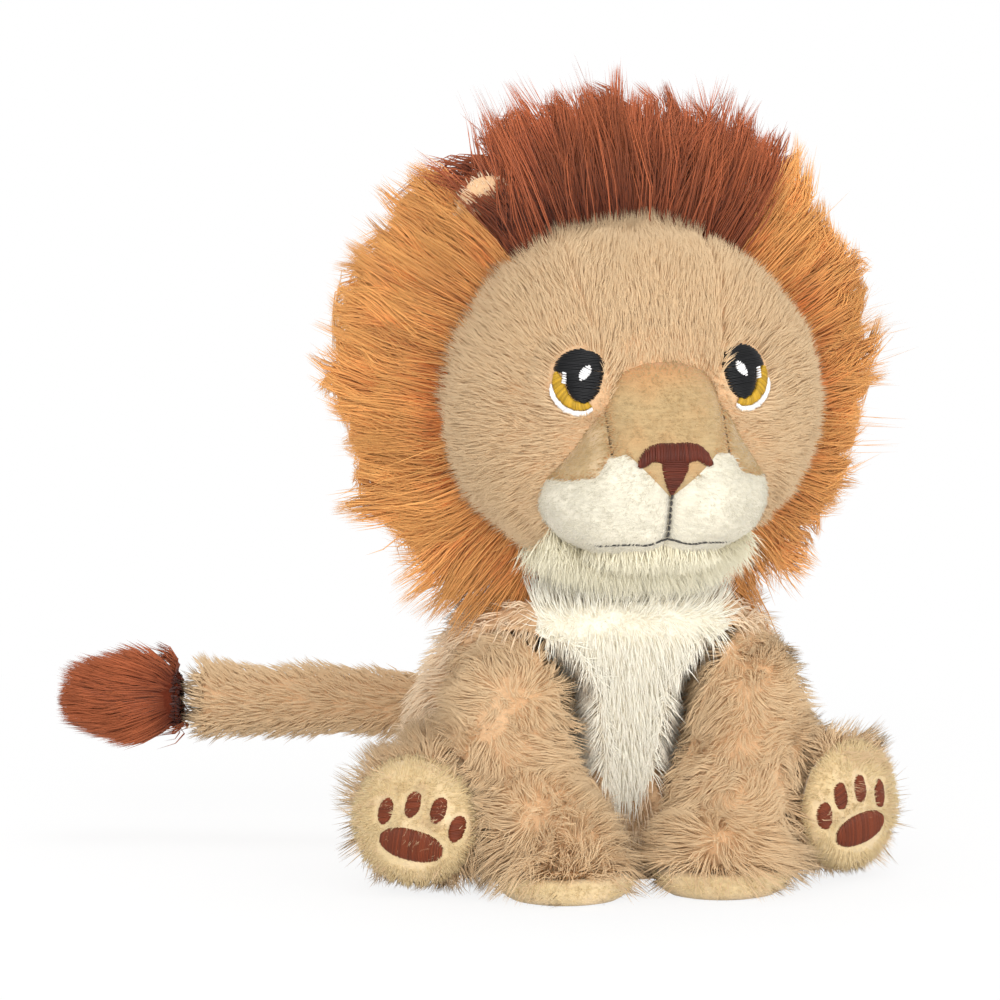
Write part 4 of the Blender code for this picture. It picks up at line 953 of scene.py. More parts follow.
class LION_OT_body(LionOperator):
    """Skin and fur of the torso, its chest and its seat"""

    bl_idname = "lion.body"
    bl_label = "Torso"

    def build(self, colours, sizes):
        bodies = frame["record"]["behaviour"]["bodies"]
        limbs = [node for body in (*LEG_BODIES, "tail") for node in bodies[body]]
        nodes = ["torso_skin", "belly_panel", "chest_panel", "torso_stuffing"]
        mesh, free = swept_skin("torso_cloth", nodes, 3 * MM, limbs)
        tan = pile_sheet("tan_plush", colours.tan_root, colours.tan)
        cream = pile_sheet("cream_plush", colours.cream_root, colours.cream, deep=0.94, pale=1.0)
        backings = [skin_sheet("tan_backing", colours.tan_root), skin_sheet("cream_backing", colours.cream)]
        nodes.remove("chest_panel")
        add_piece("torso_cloth", mesh, backings, "torso", nodes)
        paint(mesh, on_chest)
        skin = Skin(mesh, free)
        self.lay_torso(Pile(skin, sizes, "torso"), sizes, tan)
        self.lay_chest(Pile(skin, sizes, "chest"), sizes, cream)
        self.add_seat(colours)
        bag = frame["nodes"]["pellet_bag"].data.materials
        bag.clear()
        bag.append(bag_sheet("bag_cloth", colours.bag))
        self.add_neck(sizes, cream)

    def lay_torso(self, pile, sizes, material):
        pile.keep((pile.free > 0.02) & ~on_chest(pile.roots) & (pile.roots[:, 2] > 1.5 * MM))
        down = flat_to(pile.normals, -UP)
        whirl = swirl(pile.roots, 14 * MM, 3)
        first = pile.normals + 0.5 * down + 0.3 * whirl
        last = 0.35 * pile.normals + down + 0.45 * whirl
        lengths = pile.lengths(sizes.body_length, 0.75, 0.3)
        lengths *= 0.6 + 0.4 * smooth_share(pile.roots[:, 2], 2 * MM, 12 * MM)
        lengths *= 0.65 + 0.35 * smooth_share(pile.free, 0.1, 0.6)
        pile.comb(first, last, lengths).wave(7 * MM, 1.1 * MM, 12).clump(3 * MM, 0.5)
        shade = 0.1 * ripple(pile.roots, 12 * MM, 5)
        pile.make("torso_fur", material, "torso", shade=shade, slot="tan_plush")

    def lay_chest(self, pile, sizes, material):
        pile.keep((pile.free > 0.25) & on_chest(pile.roots))
        down = flat_to(pile.normals, -UP)
        lengths = pile.lengths(0.85 * sizes.body_length, 0.8, 0.3)
        # Under the chin the fur stands up
        collar = smooth_share(pile.roots[:, 2], 60 * MM, 69 * MM)
        first = pile.normals + 0.6 * down + collar[:, None] * UP
        last = 0.6 * pile.normals + 0.8 * down + 0.15 * swirl(pile.roots, 16 * MM, 9)
        last += 2.2 * collar[:, None] * UP
        pile.comb(first, last, lengths * (1 + 0.3 * collar), 0.16)
        pile.make("chest_fur", material, "torso", 0.15, replaced=["chest_panel"], slot="cream_plush")

    def add_seat(self, colours):
        low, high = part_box("seat_panel")
        middle = (low[1] + high[1]) / 2
        rings = []
        for height, size in ((0, 0.89), (0.5, 0.935), (1.2, 0.96), (2, 0.95), (3, 0.9)):
            halves = [size * (high[k] - low[k]) / 2 for k in (0, 1)]
            rings.append(((0, middle, height * MM), *halves))
        mesh = mesh_from("seat_cloth", ring_loft(rings, 72))
        velboa = velboa_sheet("seat_cloth", colours.tan, colours.tan_root)
        add_piece("seat_cloth", mesh, [velboa], "torso", ["seat_panel"])

    def add_neck(self, sizes, material):
        mesh = mesh_from("neck_cloth", round_form(NECK, (16 * MM, 16 * MM, 16 * MM)))
        backing = bpy.data.materials["cream_backing"]
        add_piece("neck_cloth", mesh, [backing], "neck", ["neck_plug"])
        pile = Pile(Skin(mesh), sizes, "neck")
        pile.keep((pile.normals[:, 1] < -0.1) & (np.abs(pile.normals[:, 2]) < 0.75))
        last = pile.normals - 0.8 * UP + 0.2 * swirl(pile.roots, 12 * MM, 13)
        pile.comb(pile.normals, last, pile.lengths(6.5 * MM, 0.8, 0.3))
        pile.make("neck_fur", material, "neck", 0.2, slot="cream_plush", lean=CHIN_LEAN)


HIND_TURN = math.radians(33)


def hind_out(side):
    """The way a hind leg points, outward from the seat."""
    return np.array((side * math.sin(HIND_TURN), -math.cos(HIND_TURN), 0))


def hind_across(side):
    return np.array((math.cos(HIND_TURN), side * math.sin(HIND_TURN), 0))


class LION_OT_legs(LionOperator):
    """Skins and fur of the four legs"""

    bl_idname = "lion.legs"
    bl_label = "Legs"

    def build(self, colours, sizes):
        backing = bpy.data.materials["tan_backing"]
        for number, body in enumerate(LEG_BODIES):
            kind, name = body.rsplit("_", 1)
            nodes = [body, body + "_stuffing"]
            others = ["torso_skin", "belly_panel", "chest_panel", "seat_panel"]
            others += [other for other in LEG_BODIES if other != body]
            inset = 3 * MM if kind == "hind_leg" else 5.5 * MM
            mesh, free = swept_skin(body + "_cloth", nodes, inset, others)
            add_piece(body + "_cloth", mesh, [backing], body, nodes[1:])
            pile = Pile(Skin(mesh, free), sizes, kind, number)
            comb = self.comb_hind if kind == "hind_leg" else self.comb_front
            first, last, lengths = comb(pile, sizes, name, number)
            lengths *= 0.7 + 0.3 * smooth_share(pile.free, 0.1, 0.5)
            pile.comb(first, last, lengths, 0.22).wave(5 * MM, 1.4 * MM, 28).clump(2.4 * MM, 0.5)
            shade = 0.12 * ripple(pile.roots, 8 * MM, 50 + number)
            tan = bpy.data.materials["tan_plush"]
            pile.make(body + "_fur", tan, body, shade=shade, replaced=[body], slot="tan_plush")
    def comb_front(self, pile, sizes, name, number):
        height = pile.roots[:, 2]
        pile.keep((pile.free > 0.02) & (height > 5 * MM))
        first, last = self.directions(pile, -UP, number)
        lengths = pile.lengths(sizes.body_length, 0.85, 0.35)
        height = pile.roots[:, 2]
        low = 1 - smooth_share(height, 8 * MM, 24 * MM)
        first += 0.6 * low[:, None] * pile.normals
        last += 0.7 * low[:, None] * pile.normals
        lengths *= (0.8 + 0.95 * low) * (0.7 + 0.3 * smooth_share(height, 4 * MM, 10 * MM))
        return first, last, lengths

    def comb_hind(self, pile, sizes, name, number):
        out = hind_out(SIDES[name])
        sole = middle_of("hind_sole_" + name)
        behind = (pile.roots - sole) @ out < -2.5 * MM
        pile.keep((pile.free > 0.02) & behind & (pile.roots[:, 2] > 1 * MM))
        first, last = self.directions(pile, out, number)
        lengths = pile.lengths(sizes.body_length, 0.85, 0.35)
        near = smooth_share((pile.roots - sole) @ out, -14 * MM, -4 * MM)
        first += 0.8 * near[:, None] * pile.normals
        last += near[:, None] * (0.8 * pile.normals + 0.1 * flat_to(pile.normals, out))
        lengths *= (0.5 + 0.5 * smooth_share(pile.roots[:, 2], 2 * MM, 10 * MM)) * (1 + 0.2 * near)
        return first, last, lengths

    def directions(self, pile, toward, number):
        along = flat_to(pile.normals, toward)
        whirl = swirl(pile.roots, 9 * MM, 30 + number)
        first = pile.normals + 0.35 * along + 0.4 * whirl
        last = 0.6 * pile.normals + 0.6 * along + 0.7 * whirl
        return first, last


# Place across, height, half width and half height of each pad, as shares of their scale
PAD_SHARES = {
    "pad": (0.05, -0.35, 0.52, 0.28),
    "toe_1": (-0.37, 0.18, 0.13, 0.2),
    "toe_2": (0.09, 0.31, 0.13, 0.2),
    "toe_3": (0.5, 0.23, 0.13, 0.2),
    "toe_4": (0.78, -0.06, 0.12, 0.2),
}
PAD_SCALE = 15 * MM
# Height and radius of a front sole's rings
FRONT_SOLE_ROWS = np.array((
    (0, 11.0), (0.3, 12.4), (1.0, 13.7), (2.2, 14.7), (3.6, 15.2), (5.2, 15.3), (6.2, 14.4),
)) * MM
# Set out in millimetres, and share of the radius, of a hind sole's rings
HIND_SOLE_ROWS = (
    (-3.0, 0.93), (-1.6, 0.99), (0.0, 1.0), (1.1, 0.975), (2.1, 0.92),
    (3.0, 0.82), (3.8, 0.66), (4.4, 0.46), (4.7, 0.25), (4.8, 0.08),
)
HIND_SOLE_RADIUS = 14.5 * MM
HIND_JOINT = np.array((34, 6, 18)) * MM
HIND_REACH = 34.3 * MM


class LION_OT_paws(LionOperator):
    """Soles of the four paws, with the sewn pads of the hind ones"""

    bl_idname = "lion.paws"
    bl_label = "Paws"

    def build(self, colours, sizes):
        self.cloth = velboa_sheet("sole_velboa", colours.sole, colours.tan, rib=(700, 700, 900))
        self.fuzz = pile_sheet("sole_pile", colours.sole, colours.sole, deep=0.88, pale=1.03)
        thread = thread_sheet("pad_thread", colours.pad)
        for name, side in SIDES.items():
            middle = middle_of("front_sole_" + name)
            rings = [((middle[0], middle[1], height), radius, radius) for height, radius in FRONT_SOLE_ROWS]
            self.add_sole("front", name, ring_loft(rings, 56), middle, -UP, sizes)

            out, across = hind_out(side), hind_across(side)
            middle = middle_of("hind_sole_" + name)
            end = middle - out * ((middle - HIND_JOINT * (side, 1, 1)) @ out - HIND_REACH)
            rings = []
            for back, size in HIND_SOLE_ROWS:
                rings.append((end + out * back * MM, size * HIND_SOLE_RADIUS, size * HIND_SOLE_RADIUS))
            bm = ring_loft(rings, 64, across, UP)
            ground = Ground(bm, end, across, UP)
            self.add_sole("hind", name, bm, end, out, sizes)
            self.sew_pads(name, side, ground, sizes, thread)

    def add_sole(self, end, name, bm, centre, out, sizes):
        """A sole and its short pile, clear of the pads."""
        body = f"{end}_leg_{name}"
        side = SIDES[name]
        mesh = mesh_from(end + "_sole_cloth", bm)
        replaced = [f"{end}_sole_{name}"]
        add_piece(f"{end}_sole_cloth_{name}", mesh, [self.cloth], body, replaced)
        pile = Pile(Skin(mesh), sizes, end + "_sole", side)
        clear = pile.normals @ out > -0.3
        if end == "hind":
            a = (pile.roots - centre) @ hind_across(side) / PAD_SCALE * -side
            b = (pile.roots - centre) @ UP / PAD_SCALE
            for place, height, wide, tall in PAD_SHARES.values():
                clear &= ((a - place) / (wide + 0.05)) ** 2 + ((b - height) / (tall + 0.05)) ** 2 > 1
        pile.keep(clear)
        away = flat_to(pile.normals, pile.roots - centre)
        lie = unit(away + 1e-6) * 0.7 + 0.3 * swirl(pile.roots, 6 * MM, 95) - UP * 0.2
        lengths = pile.lengths(2.4 * MM, 0.7, 0.5)
        if end == "front":
            lengths *= smooth_share(pile.roots[:, 2], 0, 4 * MM)
        pile.comb(pile.normals + 0.5 * lie, 0.7 * pile.normals + lie, lengths, 0.25, 0.3 * MM)
        pile.make(f"{end}_sole_pile_{name}", self.fuzz, body, 0.4, slot="sole_velboa")

    def sew_pads(self, name, side, ground, sizes, thread):
        roll = side * math.radians(10)
        turn = np.array(((math.cos(roll), -math.sin(roll)), (math.sin(roll), math.cos(roll))))
        for number, (part, shares) in enumerate(PAD_SHARES.items()):
            a, b, wide, tall = (share * PAD_SCALE for share in shares)
            place = np.array((-side * a, b))
            count = int(2 * (wide if part == "pad" else tall) / sizes.thread_pitch)
            starts, ends = [], []
            for share in np.linspace(-0.97, 0.97, count):
                half = (1 - abs(share) ** 2.3) ** (1 / 2.3)
                first = (-half * wide, share * tall - 0.3 * half * wide)
                last = (half * wide, share * tall + 0.3 * half * wide)
                if part == "pad":
                    first = (share * wide, -half * tall * 0.92)
                    last = (share * wide, half * tall)
                starts.append(turn @ first + place)
                ends.append(turn @ last + place)
            piece = f"hind_{part}_stitches_{name}"
            replaced = [f"hind_{part}_{name}"]
            body = "hind_leg_" + name
            stitch(piece, ground, starts, ends, thread, body, replaced, 0.55 * MM, 60 + number)


TAIL_ANGLE = math.radians(162.5)
TAIL_OUT = np.array((math.cos(TAIL_ANGLE), math.sin(TAIL_ANGLE), 0))
TAIL_ROOT = np.array((0, 50.7, 33)) * MM
TUFT_END = 122 * MM


class LION_OT_tail(LionOperator):
    """Skin and fur of the tail and its tuft"""

    bl_idname = "lion.tail"
    bl_label = "Tail"

    def build(self, colours, sizes):
        backing = bpy.data.materials["tan_backing"]
        nodes = ["tail_skin", "tail_stuffing"]
        mesh, free = swept_skin("tail_cloth", nodes, 2.5 * MM, ["torso_skin"], 1.2 * MM)
        add_piece("tail_cloth", mesh, [backing], "tail", ["tail_stuffing"])
        pile = Pile(Skin(mesh, free), sizes, "tail")
        pile.keep((pile.roots - TAIL_ROOT) @ TAIL_OUT > -4 * MM)
        whirl = swirl(pile.roots, 12 * MM, 41)
        first = pile.normals + 0.6 * TAIL_OUT + 0.2 * whirl
        last = 0.3 * pile.normals + TAIL_OUT + 0.3 * whirl
        lengths = pile.lengths(0.9 * sizes.body_length, 0.75, 0.35)
        lengths *= 0.35 + 0.65 * smooth_share(pile.free, 0.1, 0.6)
        pile.comb(first, last, lengths).clump(3 * MM, 0.5)
        shade = 0.14 * ripple(pile.roots, 10 * MM, 42)
        tan = bpy.data.materials["tan_plush"]
        pile.make("tail_fur", tan, "tail", shade=shade, replaced=["tail_skin"], slot="tan_plush")

        brown = pile_sheet("brown_plush", colours.brown_root, colours.brown, root_end=0.75)
        backing = skin_sheet("brown_backing", colours.brown_root)
        mesh, _ = swept_skin("tuft_cloth", ["tail_tuft"], 4 * MM, voxel=1.2 * MM)
        add_piece("tuft_cloth", mesh, [backing], "tail", [])
        pile = Pile(Skin(mesh), sizes, "tuft")
        first = 0.5 * pile.normals + 0.7 * TAIL_OUT + 0.15 * swirl(pile.roots, 9 * MM, 46)
        last = 0.05 * pile.normals + TAIL_OUT + 0.2 * swirl(pile.roots, 9 * MM, 47)
        # The strands end side by side, so the tuft is blunt
        left = TUFT_END - (pile.roots - TAIL_ROOT) @ TAIL_OUT
        lengths = pile.lengths(sizes.tuft_length * np.clip(left / (15 * MM), 0.36, 1), 0.85, 0.25)
        pile.comb(first, last, lengths, 0.12).clump(3 * MM, 0.3)
        pile.make("tuft_fur", brown, "tail", 0.9, replaced=["tail_tuft"], slot="crown_plush")


FACE_PANELS = {"forehead": "forehead_panel", "cheek_left": "cheek_left", "cheek_right": "cheek_right"}


def on_chin(points):
    return (points[:, 2] < 92 * MM) & (np.abs(points[:, 0]) < 23 * MM) & (points[:, 1] < HEAD[1])


class LION_OT_head(LionOperator):
    """Skin and short fur of the face"""

    bl_idname = "lion.head"
    bl_label = "Face"

    def build(self, colours, sizes):
        mesh = mesh_from("head_cloth", head_form())
        points, normals = places_of(mesh)
        nearest = np.minimum(eye_distance(points, 1), eye_distance(points, -1))
        inset = 2.8 * MM * smooth_share(nearest, 1.0, 1.5) + 0.12 * MM
        move_places(mesh, points - normals * inset[:, None])
        backings = [bpy.data.materials["tan_backing"], bpy.data.materials["cream_backing"]]
        add_piece("head_cloth", mesh, backings, "head", ["head_stuffing"])
        paint(mesh, on_chin)
        skin = Skin(mesh)
        cream = bpy.data.materials["cream_plush"]
        seam = HEAD[1] + SEAM_BACK
        for number, (name, node) in enumerate(FACE_PANELS.items()):
            pile = Pile(skin, sizes, name.split("_")[0], number)
            roots = pile.roots
            across, height = np.abs(roots[:, 0]), roots[:, 2]
            chosen = (across < gusset_edge(height)) & (height > 116 * MM)
            if name != "forehead":
                chosen = ~chosen & (roots[:, 0] * SIDES[name.split("_")[1]] > 0)
            chosen &= ~((height < 92 * MM) & (across < chin_half(height)))
            chosen &= (roots[:, 1] < seam + 1 * MM) & ~in_muzzle(roots, -0.8 * MM)
            chosen &= (eye_distance(roots, 1) > 1) & (eye_distance(roots, -1) > 1)
            pile.keep(chosen)
            self.lay_face_pile(pile, sizes, name, node)

        pile = Pile(skin, sizes, "chin")
        height = pile.roots[:, 2]
        chin = (height < 94 * MM) & (np.abs(pile.roots[:, 0]) < chin_half(height) + 1.5 * MM)
        pile.keep(chin & (pile.roots[:, 1] < seam) & ~in_muzzle(pile.roots, -1 * MM))
        down = flat_to(pile.normals, -UP)
        last = 0.8 * pile.normals + 0.4 * down - 0.6 * BACK + 0.3 * swirl(pile.roots, 12 * MM, 57)
        pile.comb(pile.normals - 0.6 * BACK, last, pile.lengths(1.9 * sizes.face_length, 0.8, 0.4), 0.3)
        pile.make("chin_fur", cream, "head", 0.2, replaced=["chin_panel"], slot="cream_plush", lean=CHIN_LEAN)

        # The muzzle's underside, below the mouth
        pile = Pile(Skin(mesh_from("muzzle", muzzle_bm())), sizes, "lip")
        mouth = 85.6 * MM - 1.6 * MM * np.abs(pile.roots[:, 0] / (16 * MM)) ** 1.2
        pile.keep((pile.roots[:, 2] < mouth) & (pile.roots[:, 1] < -36 * MM))
        last = 0.7 * pile.normals - 0.8 * UP - 0.3 * BACK + 0.35 * swirl(pile.roots, 8 * MM, 58)
        lengths = pile.lengths(0.8 * sizes.face_length, 0.7, 0.5)
        pile.comb(pile.normals - 0.3 * UP, last, lengths, 0.3, 0.4 * MM)
        pile.make("lip_fur", cream, "head", 0.2, slot="cream_plush", lean=CHIN_LEAN)

    def lay_face_pile(self, pile, sizes, name, node):
        roots, normals = pile.roots, pile.normals
        away = roots - np.array((0, -52, 108)) * MM
        if name == "forehead":
            away = UP + 6 * roots * RIGHT
        away = unit(flat_to(normals, away))
        whirl = swirl(roots, 12 * MM, 61)
        first = normals + 0.5 * away + 0.2 * whirl
        last = 0.5 * normals + away + 0.25 * whirl
        fringe = smooth_share(roots[:, 1], HEAD[1] - 2 * MM, HEAD[1] + SEAM_BACK)[:, None]
        last += fringe * (0.8 * normals - 0.5 * away)
        lengths = pile.lengths(sizes.face_length, 0.75, 0.4) * (1 + 0.25 * fringe[:, 0])
        lengths[in_muzzle(roots, 3.5 * MM)] *= 0.55
        # Strands that would cross an eye are cut back
        for side in SIDES.values():
            for share, cut in ((0.55, 0.5), (1, 0.62)):
                ends = roots + unit(first + last) * (lengths * share)[:, None]
                lengths[eye_distance(ends, side) < 0.96] *= cut
        pile.comb(first, last, lengths, 0.2, 0.3 * MM).wave(4 * MM, 0.5 * MM, 62).clump(2.4 * MM, 0.12)
        shade = 0.08 * ripple(pile.roots, 9 * MM, 63)
        # Painted shadow: darker where the fur meets the muzzle's brow seam
        x, y, z = roots.T
        brow_shadow = np.exp(-(((z - 130 * MM) / (3 * MM)) ** 2)) * (np.abs(x) < 16 * MM)
        shade -= 0.5 * brow_shadow * (y < HEAD[1] - 20 * MM)
        pile.make(name + "_fur", bpy.data.materials["tan_plush"], "head", 0.4, shade, [node], "tan_plush")


def gusset_edge(heights):
    """Half width of the forehead's middle panel at a height."""
    return np.interp(heights, np.array((116, 126, 140, 158)) * MM, np.array((13.0, 13.5, 16.0, 18.5)) * MM)


def chin_half(heights):
    return np.interp(heights, np.array((74, 84, 92)) * MM, np.array((20.0, 22.0, 21.0)) * MM)


# The seam over the muzzle's lobes, from its middle outward
LOBE_TOP = np.array((
    (0, 98.0), (6, 104.0), (11, 109.0), (15, 108.0), (17.5, 103.5), (22, 102.2), (28, 101), (42, 100),
)) * MM
BRIDGE_EDGE = 14.5 * MM
SEAM_GAP = 0.05 * MM
PANEL_TOP = 150 * MM
PANEL_FOOT = 60 * MM
PANEL_REACH = 60 * MM


def panel_outline(kind):
    """Outline of one kind of muzzle panel, seen from the front."""
    line = spaced(LOBE_TOP, 60)
    if kind == "bridge":
        right = [(x, z + SEAM_GAP) for x, z in line if x < BRIDGE_EDGE] + [(BRIDGE_EDGE, PANEL_TOP)]
        return [(-x, z) for x, z in reversed(right[1:])] + right
    if kind == "side":
        outer = [(x, z + SEAM_GAP) for x, z in line if x > BRIDGE_EDGE]
        inner = BRIDGE_EDGE + SEAM_GAP
        ends = [(PANEL_REACH, outer[-1][1]), (PANEL_REACH, PANEL_TOP)]
        return [(inner, PANEL_TOP), (inner, outer[0][1]), *outer, *ends]
    inner = [(max(x, SEAM_GAP), z) for x, z in line]
    return [(SEAM_GAP, PANEL_FOOT), *inner, (line[-1][0], PANEL_FOOT)]


class LION_OT_muzzle(LionOperator):
    """Sewn panels of the muzzle"""

    bl_idname = "lion.muzzle"
    bl_label = "Muzzle"

    def build(self, colours, sizes):
        # Heights where the bridge takes a painted shadow under the brow
        brow_shadow = (121 * MM, 131 * MM)
        bridge = velboa_sheet("muzzle_velboa", colours.beige, colours.beige_mottle_and_brow_shadow, brow_shadow=brow_shadow)
        sides = velboa_sheet("muzzle_side_velboa", colours.beige, colours.tan, (500, 500, 900))
        lobes = velboa_sheet("lobe_plush", colours.white, colours.cream_root, (330, 330, 1100))
        cloths = {
            "bridge": (bridge, "muzzle_velboa"),
            "side": (sides, "muzzle_velboa"),
            "lobe": (lobes, "lobe_plush"),
        }
        for name in ("bridge", "side_left", "side_right", "lobe_left", "lobe_right"):
            kind = name.split("_")[0]
            side = -1 if name.endswith("right") else 1
            material, slot = cloths[kind]
            mesh = self.cut_panel(name, [(side * x, z) for x, z in panel_outline(kind)])
            add_piece(f"muzzle_{name}_cloth", mesh, [material], "head", ["muzzle_" + name])
        self.lay_pile(sizes, colours)

    def cut_panel(self, name, outline):
        form = helper_object("form", muzzle_bm())
        bm = bmesh.new()
        face = bm.faces.new([bm.verts.new((x, -0.12, z)) for x, z in outline])
        made = bmesh.ops.extrude_face_region(bm, geom=[face])["geom"]
        raised = [item for item in made if isinstance(item, bmesh.types.BMVert)]
        bmesh.ops.translate(bm, verts=raised, vec=(0, 0.084, 0))
        bmesh.ops.recalc_face_normals(bm, faces=bm.faces)
        region = helper_object("region", bm, False)
        cut = form.modifiers.new("cut", "BOOLEAN")
        cut.operation = "INTERSECT"
        cut.object = region
        bm = modified(form, region)
        bmesh.ops.triangulate(bm, faces=[f for f in bm.faces if len(f.verts) > 4])
        bm = in_order(bm)
        core = np.array((0, -34, 104)) * MM
        line = np.array(outline + outline[:1])
        for vert in bm.verts:
            point = np.array(vert.co)
            if point[1] > -0.040:
                continue
            seam = distance_to(line, point[[0, 2]])
            depth = 0.5 * MM * math.exp(-((seam / (1.2 * MM)) ** 2))
            vert.co = point - unit(point - core) * depth
        mesh = mesh_from("muzzle_" + name, bm)
        mesh.set_sharp_from_angle(angle=math.radians(60))
        return mesh

    def lay_pile(self, sizes, colours):
        """Very short pile over the muzzle."""
        skin = Skin(mesh_from("muzzle", muzzle_bm()))
        white = pile_sheet("lobe_pile", colours.white, colours.white, deep=0.92, pale=1.0)
        beige = pile_sheet("muzzle_pile", colours.beige_mottle_and_brow_shadow, colours.beige, deep=0.88, pale=1.05)
        for number, name in enumerate(("lobe_left", "lobe_right", "bridge")):
            pile = Pile(skin, sizes, name.split("_")[0], number)
            x = pile.roots[:, 0]
            below = pile.roots[:, 2] < np.interp(np.abs(x), LOBE_TOP[:, 0], LOBE_TOP[:, 1])
            outer = (pile.roots[:, 1] < -38 * MM) & off_nose(pile.roots)
            if name == "bridge":
                pile.keep(~below & outer)
                lie = RIGHT * pile.roots[:, :1] / BRIDGE_EDGE - UP * 0.35
                material, slot = beige, "muzzle_velboa"
            else:
                side = SIDES[name.split("_")[1]]
                pile.keep(below & outer & (x * side > 0.4 * MM))
                lie = np.array((0.8 * side, 0.0, -0.45))
                material, slot = white, "lobe_plush"
            lie = flat_to(pile.normals, lie)
            last = 0.3 * pile.normals + lie + 0.3 * swirl(pile.roots, 6 * MM, 73)
            pile.comb(pile.normals + 0.9 * lie, last, pile.lengths(1.5 * MM, 0.7, 0.5), 0.2, 0.4 * MM)
            pile.make(name + "_pile", material, "head", 0.5, slot=slot)


def off_nose(points):
    """True for points beside the stitched nose and mouth."""
    x = np.abs(points[:, 0])
    z = points[:, 2]
    bar = (x < 9.6 * MM) & (np.abs(z - 108.5 * MM) < 3.6 * MM)
    stem = (x < 4.4 * MM) & (z > 98 * MM) & (z < 108 * MM)
    seam = (x < 0.9 * MM) & (z < 100 * MM)
    return ~(bar | stem | seam)


def distance_to(line, point):
    """Distance from a point to a line of points."""
    start, finish = line[:-1], line[1:]
    step = finish - start
    share = np.clip(((point - start) * step).sum(1) / np.maximum((step**2).sum(1), 1e-12), 0, 1)
    return np.linalg.norm(start + step * share[:, None] - point, axis=1).min()


PUPIL = np.array((
    (5.9, 2.6), (5.3, 4.6), (4.0, 6.2), (2.0, 7.3), (-0.6, 7.9), (-3.2, 7.7), (-5.0, 6.9),
    (-6.1, 5.2), (-6.2, 3.0), (-5.9, 0.6), (-5.3, -1.6), (-4.0, -3.4), (-2.4, -4.5), (-0.9, -4.6),
    (0.8, -4.1), (2.0, -2.7), (2.8, -1.0), (3.2, 0.8), (4.2, 2.0), (5.9, 2.6),
)) * MM
# Inner edge of the iris, its edge with the white, and the white's outer edge
IRIS_INNER = np.array((
    (4.6, 2.3), (3.2, 0.9), (2.6, -1.2), (1.6, -3.0), (0.4, -4.1), (-1.0, -4.5), (-2.6, -4.4),
)) * MM
IRIS_OUTER = np.array((
    (5.7, 2.0), (6.1, 0.4), (5.7, -1.8), (4.6, -3.9), (2.8, -5.5), (0.4, -6.5), (-2.0, -6.5), (-3.6, -5.6),
)) * MM
WHITE_OUTER = np.array((
    (6.2, -0.2), (6.6, -1.4), (6.4, -2.9), (5.2, -5.0), (3.2, -6.9), (0.5, -7.9), (-2.2, -7.7), (-3.8, -6.6),
)) * MM


def sew(part, ground, starts, ends, thread, lift, seed, radius=0.26, side=""):
    """Stitches of one part of the face, with lift and radius in millimetres."""
    piece, replaced = part + "_stitches" + side, [part + side]
    stitch(piece, ground, starts, ends, thread, "head", replaced, lift * MM, seed, radius * MM)


